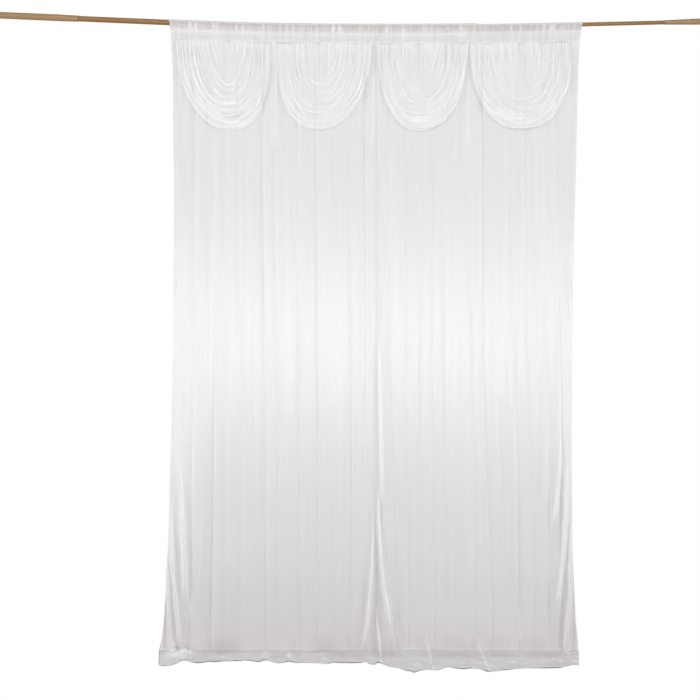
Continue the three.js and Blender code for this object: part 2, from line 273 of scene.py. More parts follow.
@dataclass(frozen=True)
class CharmeuseSatin:
    """Polyester charmeuse: long vertical floats give it a soft wide gloss and a milky translucence."""

    name: str
    colour: str = "#f4f4f5"
    shade: str = "#eeeeef"
    # Colours of the painted shade (dim) and of the painted shadow lines.
    dim_colour: str = "#9b6b6f"
    shadow_colour: str = "#3c3638"
    roughness: float = 0.45
    anisotropy: float = 0.75
    ior: float = 1.7
    thread_pitch: float = 1.4
    slub_width: float = 5.0
    slub_length: float = 90.0
    crinkle: float = 9.0
    crumple: float = 32.0

    # Length of one band of the wave texture at scale 1.
    BAND_LENGTH = 0.314

    def material(self) -> bpy.types.Material:
        """Build the satin.

        Returns:
            The material, which reads the sheet's own flat map.
        """
        material, tree = new_material(self.name)
        flat = add_node(tree, "ShaderNodeUVMap", uv_map="cloth").outputs["UV"]
        across = add_node(tree, "ShaderNodeTangent", direction_type="UV_MAP", uv_map="cloth")
        # Cover is how much one face hides: less where it is tight on the rod, more in a pinched fold.
        cover = add_node(tree, "ShaderNodeAttribute", attribute_name="cover")
        # Threads are 0.2 mm apart, too fine to show, so they are drawn as bands pi times thread_pitch apart.
        bands = self.BAND_LENGTH / (self.thread_pitch * MM) / math.pi
        threads = add_node(
            tree, "ShaderNodeTexWave", {"Vector": flat, "Scale": bands, "Distortion": 1.5, "Detail": 1.0},
            wave_type="BANDS", bands_direction="X",
        )
        slub_scale = (1 / (self.slub_width * MM), 1 / (self.slub_length * MM), 1.0)
        slub_place = add_node(tree, "ShaderNodeMapping", {"Vector": flat, "Scale": slub_scale}).outputs[0]
        slubs = add_node(tree, "ShaderNodeTexNoise", {"Vector": slub_place, "Scale": 1.0, "Detail": 2.0})
        fine = {"Vector": flat, "Scale": 1 / (self.crinkle * MM), "Detail": 3.0, "Roughness": 0.55}
        crinkles = add_node(tree, "ShaderNodeTexNoise", fine)
        broad = {"Vector": flat, "Scale": 1 / (self.crumple * MM), "Detail": 2.0}
        crumples = add_node(tree, "ShaderNodeTexNoise", broad)
        tones = {0: slubs.outputs["Fac"], 6: linear_colour(self.colour), 7: linear_colour(self.shade)}
        seen = add_node(tree, "ShaderNodeMix", tones, data_type="RGBA")
        # Dim is painted: the rod's tint seen through the pocket, and painted shade low down and at the turn
        # onto the floor. The trait painted_shadow is painted shadow: the dark line where the hem's edge rolls
        # under, and shade patches at that turn.
        for trait, tint in (("dim", self.dim_colour), ("painted_shadow", self.shadow_colour)):
            amount = add_node(tree, "ShaderNodeAttribute", attribute_name=trait).outputs["Fac"]
            tones = {0: amount, 6: seen.outputs[2], 7: linear_colour(tint)}
            seen = add_node(tree, "ShaderNodeMix", tones, data_type="RGBA")
        least, most = self.roughness - 0.05, self.roughness + 0.07
        spread = {"Value": crumples.outputs["Fac"], "To Min": least, "To Max": most}
        surface = {
            "Base Color": seen.outputs[2],
            "Roughness": add_node(tree, "ShaderNodeMapRange", spread).outputs[0],
            "IOR": self.ior,
            "Specular IOR Level": 1.0,
            "Anisotropic": self.anisotropy,
            "Tangent": across.outputs[0],
            "Alpha": cover.outputs["Fac"],
        }
        # Relief from the softest to the finest, each with its strength and its height in metres.
        layers = (
            (crumples, 0.5, 0.0014), (crinkles, 0.4, 0.0006), (slubs, 0.35, 0.0004), (threads, 0.12, 0.0001)
        )
        for pattern, strength, height in layers:
            links = {"Strength": strength, "Distance": height, "Height": pattern.outputs["Fac"]}
            if "Normal" in surface:
                links["Normal"] = surface["Normal"]
            surface["Normal"] = add_node(tree, "ShaderNodeBump", links).outputs[0]
        shader = add_node(tree, "ShaderNodeBsdfPrincipled", surface)
        add_node(tree, "ShaderNodeOutputMaterial", {"Surface": shader.outputs[0]})
        return material


@dataclass(frozen=True)
class BronzePaint:
    """Bronze lacquer drawn along a steel tube: fine streaks lengthwise under a satin gloss."""

    name: str
    colour: str
    dark: str
    roughness: float = 0.36

    def material(self) -> bpy.types.Material:
        """Build the paint.

        Returns:
            The material, which reads object coordinates.
        """
        material, tree = new_material(self.name)
        place = add_node(tree, "ShaderNodeTexCoord").outputs["Object"]
        # Streaks are about 1.5 mm wide and 120 mm long.
        along = add_node(tree, "ShaderNodeMapping", {"Vector": place, "Scale": (8.0, 650.0, 650.0)}).outputs[0]
        streaks = add_node(tree, "ShaderNodeTexNoise", {"Vector": along, "Scale": 1.0, "Detail": 3.0})
        specks = add_node(tree, "ShaderNodeTexNoise", {"Vector": place, "Scale": 260.0, "Detail": 2.0})
        streak = streaks.outputs["Fac"]
        tones = {0: streak, 6: linear_colour(self.dark), 7: linear_colour(self.colour)}
        tint = add_node(tree, "ShaderNodeMix", tones, data_type="RGBA").outputs[2]
        least, most = self.roughness - 0.06, self.roughness + 0.08
        spread = {"Value": specks.outputs["Fac"], "To Min": least, "To Max": most}
        gloss = add_node(tree, "ShaderNodeMapRange", spread).outputs[0]
        raised = {"Strength": 0.25, "Distance": 0.0002, "Height": streak}
        bump = add_node(tree, "ShaderNodeBump", raised).outputs[0]
        surface = {"Base Color": tint, "Roughness": gloss, "Normal": bump, "Metallic": 0.15}
        shader = add_node(tree, "ShaderNodeBsdfPrincipled", surface)
        add_node(tree, "ShaderNodeOutputMaterial", {"Surface": shader.outputs[0]})
        return material


@dataclass(frozen=True)
class SpunThread:
    """White polyester sewing thread: a little brighter and rougher than the satin it holds."""

    colour: str = "#f7f5f4"
    dark: str = "#e6e1df"
    roughness: float = 0.6

    def material(self) -> bpy.types.Material:
        """Build the thread.

        Returns:
            The material, with a fine twist from object coordinates.
        """
        material, tree = new_material("spun polyester thread")
        place = add_node(tree, "ShaderNodeTexCoord").outputs["Object"]
        bands = {"Vector": place, "Scale": 900.0}
        twist = add_node(tree, "ShaderNodeTexWave", bands, bands_direction="DIAGONAL")
        tones = {0: twist.outputs["Fac"], 6: linear_colour(self.dark), 7: linear_colour(self.colour)}
        tint = add_node(tree, "ShaderNodeMix", tones, data_type="RGBA").outputs[2]
        shader = add_node(tree, "ShaderNodeBsdfPrincipled", {"Base Color": tint, "Roughness": self.roughness})
        add_node(tree, "ShaderNodeOutputMaterial", {"Surface": shader.outputs[0]})
        return material


def white_surroundings(tree: bpy.types.NodeTree, behind: str = "#bbb8b9") -> bpy.types.NodeSocket:
    """Pure white where nothing is in front of it, and dimmer where it shows through the cloth.

    Args:
        tree: Node tree to add to.
        behind: Colour seen through the cloth.

    Returns:
        The colour's output.
    """
    through = add_node(tree, "ShaderNodeLightPath").outputs["Transparent Depth"]
    tones = {0: through, 6: linear_colour("#ffffff"), 7: linear_colour(behind)}
    return add_node(tree, "ShaderNodeMix", tones, data_type="RGBA").outputs[2]


@dataclass(frozen=True)
class StudioFloor:
    """White sweep, overexposed as in a product photograph, so it shows neither edge nor shadow."""

    glow: float = 1.0

    def material(self) -> bpy.types.Material:
        """Build the floor's finish."""
        material, tree = new_material("overexposed white floor")
        light = {"Color": white_surroundings(tree), "Strength": self.glow}
        shader = add_node(tree, "ShaderNodeEmission", light)
        add_node(tree, "ShaderNodeOutputMaterial", {"Surface": shader.outputs[0]})
        return material


@dataclass(frozen=True)
class BrownBoard:
    """Matt brown board that keeps light off the curtain's foot."""

    colour: str = "#6e5155"

    def material(self) -> bpy.types.Material:
        """Build the board's finish."""
        material, tree = new_material("matt brown board")
        shader = add_node(tree, "ShaderNodeBsdfDiffuse", {"Color": linear_colour(self.colour)})
        add_node(tree, "ShaderNodeOutputMaterial", {"Surface": shader.outputs[0]})
        return material


@dataclass(frozen=True)
class Bow:
    """Line of the rod's axis: three nearly straight stretches joined by soft bends."""

    low: float = 2800.5
    softness: float = 300.0
    left_bend: float = -350.0
    left_rise: float = 0.0448
    right_bend: float = 560.0
    right_rise: float = 0.026

    def height(self, x: Value) -> np.ndarray:
        """Height of the axis at that place along the rod."""
        left = self.left_rise * self._ramp(self.left_bend - np.asarray(x, dtype=float))
        right = self.right_rise * self._ramp(np.asarray(x, dtype=float) - self.right_bend)
        return self.low + left + right

    def _ramp(self, distance: Value) -> np.ndarray:
        """Distance past a bend, softened round it."""
        return (distance + np.hypot(distance, self.softness)) / 2


@dataclass(frozen=True)
class Pocket:
    """Tunnel of cloth that the rod runs through, and the seam that closes it."""

    thick_rod: float = 12.0
    thin_rod: float = 8.5
    narrowing: Point = (548.0, 600.0)
    seat: float = 0.55
    clearance: float = 0.3
    cad_cloth: float = 1.5
    arc_steps: int = 5
    drop: float = 87.0
    turn_under: float = 10.0
    layer_gap: float = 2.0

    def rod(self, x: Value) -> np.ndarray:
        """Radius of the rod's tube at that place along it."""
        return mix(self.thick_rod, self.thin_rod, smooth(*self.narrowing, x))

    def radius(self, x: Value) -> np.ndarray:
        """Radius of the cloth round the rod at that place along it."""
        return self.rod(x) + self.seat + self.cad_cloth / 2

    def seam(self, x: Value, bow: Bow) -> np.ndarray:
        """Height of the seam under the rod, where the part's own seam is."""
        clear = (self.rod(x) + self.clearance) / math.cos(math.pi / (2 * self.arc_steps))
        return bow.height(x) + clear + self.cad_cloth / 2 - self.drop


@dataclass(frozen=True)
class EdgeRow:
    """Where the panels' edges are at one height."""

    height: float
    left: float
    inner_left: float
    inner_right: float
    right: float


@dataclass(frozen=True)
class Crease:
    """Soft trough down a panel: its place across at three heights, its depth above and below, its width."""

    top: float
    middle: float
    floor: float
    upper: float
    lower: float
    width: float

    HEIGHTS = (200.0, 1300.0, 2400.0)
    FULL_DEPTH = 8.0
    LIP_OFFSET = 6.5
    LIP_WIDTH = 3.0

    def bed(self, z: np.ndarray) -> tuple[np.ndarray, np.ndarray]:
        """Place across and depth of the trough at each height."""
        place = np.interp(z, self.HEIGHTS, (self.floor, self.middle, self.top))
        return place, mix(self.upper, self.lower, smooth(self.HEIGHTS[2], self.HEIGHTS[0], z))

    def depth(self, x: np.ndarray, z: np.ndarray) -> np.ndarray:
        """How deep the trough is at each point: a sharp bed inside a wide one."""
        place, deep = self.bed(z)
        return deep * (0.55 * bell(x - place, self.width) + 0.45 * bell(x - place, self.width * 0.35))

    def lip(self, x: np.ndarray, z: np.ndarray) -> np.ndarray:
        """Doubled cloth along the trough's side, from 0 to 1."""
        place, deep = self.bed(z)
        return np.clip(deep / self.FULL_DEPTH, 0.0, 1.0) * bell(x - place - self.LIP_OFFSET, self.LIP_WIDTH)


@dataclass(frozen=True)
class Crest:
    """Light upright fold: its place, the heights where it starts and ends, its rise and width."""

    across: float
    top: float
    end: float
    stand: float
    width: float

    ROUNDING = 2.0

    def rise(self, x: np.ndarray, z: np.ndarray) -> np.ndarray:
        """How far the fold stands out at each point."""
        middle = (self.top + self.end) / 2
        half = (self.top - self.end) / 2
        away = np.hypot(x - self.across, self.ROUNDING) - self.ROUNDING
        return self.stand * np.exp(-away / self.width) * smooth(half, 0.55 * half, np.abs(z - middle))


@dataclass(frozen=True)
class Ridge:
    """Pinched fold with a crisp crest along a path, tapered at both ends.

    The path's points are places across and heights; below zero, a height is the way forward along the hem.
    """

    stand: float
    width: float
    path: tuple[Point, ...]

    def weight(self, x: np.ndarray, z: np.ndarray) -> np.ndarray:
        """Nearness to the crest at each point, from 0 to 1."""
        places, heights = zip(*reversed(self.path))
        share = (heights[-1] - z) / (heights[-1] - heights[0])
        grown = smooth(0.0, 0.35, share) * smooth(1.0, 0.88, share)
        width = self.width * mix(0.6, 1.0, np.clip(share, 0.0, 1.0))
        return grown * bell(x - np.interp(z, heights, places), width)

    def rise(self, x: np.ndarray, z: np.ndarray) -> np.ndarray:
        """How far the fold stands out at each point."""
        return self.stand * self.weight(x, z)


@dataclass(frozen=True)
class Wrinkle:
    """Short slanting wrinkle between two points, each a place across and a height."""

    start: Point
    end: Point
    stand: float = 0.8
    width: float = 3.5

    def rise(self, x: np.ndarray, z: np.ndarray) -> np.ndarray:
        """How far the wrinkle stands out at each point."""
        along = np.subtract(self.end, self.start).astype(float)
        length = np.hypot(*along)
        share = ((x - self.start[0]) * along[0] + (z - self.start[1]) * along[1]) / length**2
        away = ((x - self.start[0]) * along[1] - (z - self.start[1]) * along[0]) / length
        return self.stand * bell(away, self.width) * smooth(0.5, 0.2, np.abs(share - 0.5))


@dataclass(frozen=True)
class Bump:
    """Bump along a panel's width: its place across, its half width and its height."""

    across: float
    width: float
    height: float = 1.0

    def at(self, x: np.ndarray) -> np.ndarray:
        """Height of the bump at each place across."""
        return self.height * bell(x - self.across, self.width)


@dataclass(frozen=True)
class Patch:
    """Patch of heaped or crushed cloth: its middle across and along, its reach, height and stretch along."""

    across: float
    along: float
    reach: float
    height: float
    stretch: float = 1.0

    def at(self, x: np.ndarray, along: np.ndarray) -> np.ndarray:
        """Height of the patch at each point."""
        tall = bell(along - self.along, self.reach * self.stretch)
        return self.height * bell(x - self.across, self.reach) * tall


@dataclass(frozen=True)
class Cone:
    """Fold with a crisp crest that grows from its head to its foot near a panel's edge."""

    head_x: float
    head_z: float
    foot_x: float
    foot_z: float
    stand: float
    width: float
    sway: float = 0.0

    FADE = 1.5
    ROUNDING = 3.0

    def rise(self, x: np.ndarray, z: np.ndarray) -> np.ndarray:
        """How far the fold stands out at each point."""
        share = (self.head_z - z) / (self.head_z - self.foot_z)
        along = np.clip(share, 0.0, 1.0)
        grown = along**1.4 * smooth(self.FADE, 1.0, share)
        width = self.width * mix(0.5, 1.0, along)
        place = mix(self.head_x, self.foot_x, share) + self.sway * np.sin(math.pi * along)
        away = np.hypot(x - place, self.ROUNDING) - self.ROUNDING
        return self.stand * grown * np.exp(-away / width) * smooth(5.0, 2.0, away / width)


class Side(Enum):
    """The two panels, by the side of the middle that each hangs on."""

    LEFT = "panel_left"
    RIGHT = "panel_right"


EDGES = table(
    EdgeRow,
    (2850, -812, 127, 121, 1045), (2720, -803, 127, 121, 1033), (2600, -797, 126, 121, 1026),
    (2340, -795, 125, 122, 1021), (2060, -792, 129, 121, 1014), (1600, -795, 133, 121, 1003),
    (1150, -802, 135, 121, 999), (480, -818, 131, 118, 999), (160, -834, 128, 117, 1013),
    (60, -846, 126, 114, 1021), (0, -858, 125, 113, 1026),
)
HEM_ENDS = EdgeRow(0, -819, 124, 113, 974)
# How far forward the hem lies at each place across.
HEM_REACH = {
    -820: 228, -674: 226, -600: 182, -460: 155, -390: 182, -280: 205, 68: 202, 92: 262, 119: 205,
    170: 235, 222: 273, 267: 324, 350: 300, 418: 261, 500: 275, 570: 311, 700: 276, 820: 262, 975: 255,
}
FLOOR_PLEATS = table(
    Bump,
    (-700, 30, 16), (-360, 18, 8), (-255, 20, 7), (88, 20, 12), (300, 26, 12), (545, 24, 9),
    (950, 18, 9),
)
LEFT_CREASES = table(
    Crease,
    (-697, -706, -722, 5, 6, 13), (-639, -636, -640, 5, 1, 12), (-612, -610, -625, 3, 10, 13),
    (-567, -560, -560, 4, 2, 12), (-504, -495, -495, 4, 5, 13), (-396, -389, -378, 8, 6, 12),
    (-342, -335, -320, 6, 5, 12), (-238, -229, -225, 6, 6, 13), (-157, -148, -144, 8, 7, 12),
    (-63, -54, -67, 2, 4, 13), (-9, 9, 0, 4, 7, 13), (63, 74, 40, 8, 3, 12),
)
RIGHT_CREASES = table(
    Crease,
    (184, 175, 218, 3, 5, 12), (256, 256, 262, 4, 6, 12), (315, 319, 310, 4, 6, 12),
    (378, 369, 380, 5, 6, 12), (432, 427, 430, 4, 6, 12), (540, 553, 558, 2, 4, 13),
    (598, 598, 640, 9, 6, 12), (688, 670, 702, 3, 3, 13), (742, 750, 765, 4, 8, 12),
    (787, 800, 828, 7, 5, 12), (868, 895, 900, 4, 6, 13), (922, 951, 958, 5, 12, 12),
)
LEFT_CONES = table(
    Cone,
    (-765, 918, -738, 315, 6, 12), (-801, 585, -767, 45, 7, 12), (-823, 225, -792, 0, 6, 10),
    (-648, 918, -667, 405, 3, 10, 5), (-612, 648, -621, -9, 2, 10), (112, 640, 66, 12, 9, 13, 12),
)
RIGHT_CONES = table(
    Cone,
    (116, 740, 182, 96, 8, 13, -10), (945, 765, 918, 567, 4, 8), (977, 738, 932, 200, 7, 12, 8),
    (992, 369, 972, -20, 7, 12),
)
LEFT_RIDGES = table(
    Ridge,
    (8, 4.8, ((107, 640), (104, 459), (99, 337), (90, 225), (77, 112), (56, -10))),
    (9, 6.2, ((-794, 990), (-772, 800), (-756, 700), (-746, 405), (-739, 200))),
    (9, 6.2, ((-805, 660), (-796, 360), (-786, 220), (-772, 100), (-764, 0))),
    (10, 6.6, ((-830, 480), (-814, 225), (-806, 40), (-790, 0), (-774, -80))),
    (4, 3.4, ((-830, 260), (-838, 60), (-842, -40))), (2.6, 3.6, ((-716, 184), (-758, 144))),
    (2.6, 3.6, ((-753, 118), (-734, 74))), (8, 6.0, ((-292, 50), (-280, 0), (-262, -90), (-246, -190))),
    (8, 7.0, ((-366, -20), (-371, -60), (-360, -110), (-344, -170))),
)
RIGHT_RIDGES = table(
    Ridge,
    (8, 4.8, ((126, 780), (128, 585), (138, 382), (151, 270), (169, 180), (180, 70))),
    (7, 4.2, ((112, 215), (121, 120), (133, 20), (143, -90))),
    (6, 5.4, ((132, 1600), (136, 1150), (142, 800), (146, 640))),
    (6, 5.2, ((950, 1000), (940, 800), (922, 560))),
    (10, 7.6, ((982, 900), (960, 405), (943, 250), (934, 170))),
    (9, 6.0, ((1000, 700), (990, 369), (980, 160), (966, 0), (958, -60))),
    (4, 4.0, ((1012, 160), (1018, 40), (1012, -70))), (1.4, 3.0, ((762, 200), (764, 100), (766, 30))),
    (8, 6.5, ((334, 90), (352, 0), (348, -90), (338, -250))),
    (7, 6.0, ((572, 70), (585, 0), (582, -80), (604, -220))),
)
LEFT_CRESTS = table(
    Crest,
    (-346, 2860, 2120, 3.5, 7), (-329, 2800, 2260, 2.5, 5), (-594, 2400, 1750, 1.6, 9),
    (-657, 900, 420, 1.6, 9), (-436, 2300, 500, 1.2, 9), (104, 2300, 700, 1.6, 9),
    (-772, 2500, 2050, 2.5, 6), (30, 2200, 900, 1.2, 8),
)
RIGHT_CRESTS = table(
    Crest,
    (132, 2860, 2150, 2.5, 5), (146, 1500, 400, 3.0, 7), (533, 2860, 2250, 3.5, 6),
    (945, 1300, 500, 2.4, 8), (585, 2200, 300, 1.4, 9), (351, 2200, 400, 1.2, 9),
    (666, 2200, 700, 1.3, 9), (1008, 2500, 2050, 2.5, 6),
)
# Stretches across a panel where its columns are closer, for the crisp ridges there.
LEFT_ZONES = table(
    Bump,
    (95, 45, 2.0), (-780, 60, 1.2),
)
RIGHT_ZONES = table(
    Bump,
    (140, 45, 2.0), (965, 50, 1.0),
)
CRUMPLES = table(
    Patch,
    (-745, 60, 36, 5.0, 1.6), (-262, 10, 30, 3.5, 1.3), (-365, 5, 30, 3.0, 1.3), (320, 0, 55, 3.5, 1.3),
    (205, 90, 45, 3.0, 1.3), (570, 10, 50, 3.5, 1.3), (1000, 20, 40, 4.0, 1.3), (120, 5, 40, 3.0, 1.3),
    (-788, 1480, 16, 2.2, 22.0), (990, 1750, 18, 2.2, 24.0), (940, 180, 30, 1.6, 3.0),
)
# Folds between the swags, where the cloth is doubled.
BETWEEN_SWAGS = table(Bump, (-343, 9), (104, 9), (533, 9))
# Heaps on the floor, small curls of the hem there, and stretches where the painted shade at the turn onto it
# is strongest.
PILES = table(
    Patch,
    (-745, 78, 34, 42),
)
CURLS = table(
    Patch,
    (-362, 75, 12, 11), (-374, 125, 10, 9), (-256, 115, 12, 9), (92, 130, 13, 11), (116, 165, 12, 11),
    (296, 225, 15, 13), (326, 160, 13, 11), (352, 262, 13, 11), (575, 205, 12, 10), (1002, 110, 14, 13),
    (985, 180, 11, 9), (-835, 150, 12, 8), (480, 180, 12, 8), (700, 170, 12, 7), (-560, 110, 12, 7),
    (-120, 140, 12, 7),
)
SHADE_PATCHES = table(
    Bump,
    (-562, 45), (-45, 90), (180, 24), (472, 65), (860, 62), (660, 40),
)
WRINKLES = table(
    Wrinkle,
    ((-45, 1298), (62, 1330)), ((-30, 1318), (30, 1348)), ((-72, 900), (-20, 876)),
    ((-36, 828), (36, 846)), ((712, 740), (810, 765)), ((835, 1010), (872, 880), 1.0),
    ((872, 880), (905, 1000), 1.0), ((180, 128), (240, 140)), ((176, 190), (226, 196)),
    ((-520, 1100), (-470, 1086)),
)


def edge_column(name: str, z: Value) -> np.ndarray:
    """Place of one of the panels' edges at each height."""
    rows = EDGES[::-1]
    return np.interp(z, [row.height for row in rows], [getattr(row, name) for row in rows])


@dataclass
class Panel:
    """A gathered panel: pocket, hanging length, bend at the floor and hem, in one thin sheet."""

    side: Side
    creases: tuple[Crease, ...]
    cones: tuple[Cone, ...]
    crests: tuple[Crest, ...]
    ridges: tuple[Ridge, ...]
    zones: tuple[Bump, ...]
    seed: int
    edge_cover: float
    edge_reach: float
    edge_shadow: float
    bow: Bow = field(default_factory=Bow)
    pocket: Pocket = field(default_factory=Pocket)
    flat: Point = (1.14, 3.05)
    thickness: float = 0.6
    columns: int = 312
    belly: float = 8.0
    belly_start: float = 620.0
    belly_crown: float = 260.0
    belly_end: float = 20.0
    foot: float = 4.0
    bend_radius: float = 6.0
    crease_share: float = 0.75
    gather_depth: float = 2.4
    gather_pitch: float = 31.0
    over_rod: float = 0.3
    seam_stand: float = 3.0
    seam_above: float = 5.0
    seam_below: float = 17.0
    ripple: float = 4.4
    edge_lift: float = 5.0
    roll: float = 2.2
    roll_turn: float = 2.5
    corner: float = 14.0
    overlap_depth: float = 1.6
    overlap_on_rod: float = 1.8
    overlap_width: float = 30.0
    cover: float = 0.64
    cover_on_rod: float = 0.58
    cover_in_fold: float = 0.92
    cover_over_rod: float = 0.93
    cover_at_seam: float = 0.96
    cover_in_heap: float = 0.97
    # Strength of the rod's tint, painted where the pocket lies tight on it.
    tint_on_rod: float = 0.36

    BACK_ROWS = 7
    ROD_ROWS = 12
    FRONT_ROWS = 11
    # Stretches from the seam to the bend: where each starts and ends, and its number of rows.
    LENGTH = 2650.0
    STRETCHES = ((0.0, 50.0, 8), (50.0, 2000.0, 41), (2000.0, LENGTH, 43))
    BEND_ROWS = 5
    HEM_ROWS = 25
    ROLL_ROWS = 5

    @property
    def name(self) -> str:
        """Name of the part's node and of this sheet."""
        return self.side.value

    @property
    def edge_names(self) -> tuple[str, str]:
        """Names of the left and right edge in the table of edges."""
        return ("left", "inner_left") if self.side is Side.LEFT else ("inner_right", "right")

    def across_at(self, z: Value, share: Value) -> np.ndarray:
        """Place across the panel at a height and a share of its width."""
        left, right = self.edge_names
        return mix(edge_column(left, z), edge_column(right, z), share)

    def shares(self) -> np.ndarray:
        """Share of the panel's width for each column, closer together where crisp ridges run.

        Returns:
            Shares from 0 to 1.
        """
        even = np.linspace(0.0, 1.0, 2000)
        place = self.across_at(300.0, even)
        density = 1.0 + sum(zone.at(place) for zone in self.zones)
        walked = np.concatenate([[0.0], np.cumsum((density[1:] + density[:-1]) / 2)])
        return np.interp(np.linspace(0.0, 1.0, self.columns), walked / walked[-1], even)

    def bunched(self, x: np.ndarray, z: np.ndarray) -> np.ndarray:
        """Crisp upright lines where the pocket's cloth is bunched, near 1 on a line."""
        return 1.0 - 2.0 * np.abs(Unevenness(self.seed + 12, 15.0, 500.0).at(x, z))

    def gathers(self, x: np.ndarray, z: np.ndarray) -> np.ndarray:
        """Small uneven gathers of the pocket, which die out under the swags.

        Args:
            x: Places across.
            z: Heights.

        Returns:
            Millimetres forward at each point.
        """
        drift = 2.4 * Unevenness(self.seed, 95.0, 400.0).at(x, z)
        wave = (0.5 + 0.5 * np.sin(2 * math.pi * x / self.gather_pitch + drift)) ** 0.75
        fine = 0.5 + 0.5 * Unevenness(self.seed + 9, 6.5, 300.0).at(x, z)
        uneven = mix(0.25, 1.0, 0.5 + 0.5 * Unevenness(self.seed + 1, 70.0, 600.0).at(x, z))
        bunch = 0.7 * smooth(0.2, 1.0, self.bunched(x, z))
        waves = (0.6 * wave + 0.2 * fine) * uneven + bunch
        return self.gather_depth * waves * smooth(2300.0, POCKET_FULL, z)

    def folds(self, x: np.ndarray, z: np.ndarray) -> np.ndarray:
        """All the relief of the hanging cloth.

        Args:
            x: Places across.
            z: Heights.

        Returns:
            Millimetres forward at each point.
        """
        x, z = np.broadcast_arrays(np.asarray(x, dtype=float), np.asarray(z, dtype=float))
        hung = smooth(2740.0, 2500.0, z)
        relief = np.zeros_like(x)
        for crease in self.creases:
            relief -= self.crease_share * crease.depth(x, z) * hung
        for cone in self.cones:
            relief += cone.rise(x, z)
        streaks = (
            1.1 * Unevenness(self.seed + 2, 39.0, 900.0).at(x, z)
            + 0.36 * Unevenness(self.seed + 3, 17.0, 420.0).at(x, z)
            + 0.12 * Unevenness(self.seed + 4, 8.0, 200.0).at(x, z)
        )
        relief += streaks * mix(0.5, 1.0, hung) * mix(1.0, 2.0, smooth(1700.0, 900.0, z))
        for fold in (*self.crests, *self.ridges, *WRINKLES):
            relief += fold.rise(x, z)
        relief += 0.4 * Unevenness(self.seed + 5, 60.0, 75.0).at(x, z) * smooth(2300.0, 900.0, z)
        relief += self.crushing(x, z)
        return relief + self.gathers(x, z) + self.overlap(x, z)

    def crushing(self, x: np.ndarray, z: np.ndarray) -> np.ndarray:
        """Relief of the crushed patches."""
        return sum(patch.at(x, z) for patch in CRUMPLES) * crushed(self.seed + 8, 15.0, x, z)

    def overlap(self, x: np.ndarray, z: np.ndarray) -> np.ndarray:
        """Step forward of the right panel's inner edge and back of the left one's, so that they overlap.

        Args:
            x: Places across.
            z: Heights.

        Returns:
            Millimetres forward at each point.
        """
        below = smooth(2500.0, 2200.0, z)
        edge = edge_column(self.edge_names[1 if self.side is Side.LEFT else 0], z)
        if self.side is Side.LEFT:
            step = -self.overlap_depth * below
        else:
            step = mix(self.overlap_on_rod, self.overlap_depth, below)
        return step * smooth(self.overlap_width, 0.0, np.abs(x - edge))

    def rows(self) -> np.ndarray:
        """Points of the sheet, from the turned-under edge over the rod and down to the hem.

        Returns:
            Places in millimetres, rows by columns by three.
        """
        share = self.shares()
        top = self.across_at(POCKET_TOP, share)
        axis, seam, radius = self.bow.height(top), self.pocket.seam(top, self.bow), self.pocket.radius(top)
        gap = self.pocket.layer_gap
        grid = []
        for step in np.linspace(0.0, 1.0, self.BACK_ROWS + 1)[:-1]:
            z = mix(seam - self.pocket.turn_under, axis, step)
            x = self.across_at(z, share)
            lean = mix(1.0, -1.0, smooth(0.1, 0.9, step)) * self.folds(x, seam + 20)
            forward = mix(-gap, -radius, math.sin(step * math.pi / 2)) + lean
            grid.append(row_of(x, np.minimum(forward, -gap + self.folds(x, seam)), z))
        full = np.full_like(top, POCKET_FULL)
        around = self.over_rod * self.gathers(top, full) + self.overlap(top, full)
        for angle in np.linspace(math.pi, 0.0, self.ROD_ROWS + 1):
            reach = radius + around
            grid.append(row_of(top, reach * math.cos(angle), axis + reach * math.sin(angle)))
        for step in np.linspace(0.0, 1.0, self.FRONT_ROWS + 1)[1:]:
            z = mix(axis, seam, step)
            x = self.across_at(z, share)
            lean = self.folds(x, seam) * smooth(0.0, 1.0, step) + around * (1 - smooth(0.0, 1.0, step))
            slope = mix(radius, 0.0, math.sin(step * math.pi / 2) ** 1.15)
            grid.append(row_of(x, slope + lean + self.seam_ridge(seam - z), z))
        for start, end, count in self.STRETCHES:
            for drop in np.linspace(start, end, count + 1)[1:]:
                z = mix(seam, self.bend_radius, drop / self.LENGTH)
                x = self.across_at(z, share)
                grid.append(row_of(x, self.bulge(z) + self.folds(x, z) + self.seam_ridge(seam - z), z))
        return self.floor_rows(grid, share)

    def bulge(self, z: Value) -> np.ndarray:
        """Slight bulge of the panel's foot, which draws in again just above the floor."""
        above = self.belly * smooth(self.belly_start, self.belly_crown, z)
        below = mix(self.belly, self.foot, smooth(self.belly_crown, self.belly_end, z))
        return np.where(np.asarray(z) > self.belly_crown, above, below)

    def seam_ridge(self, below: Value) -> np.ndarray:
        """Thickness of the stitched layers at the seam: steep above it and fading out below."""
        width = np.where(np.asarray(below) < 0, self.seam_above, self.seam_below)
        return self.seam_stand * bell(below, width)

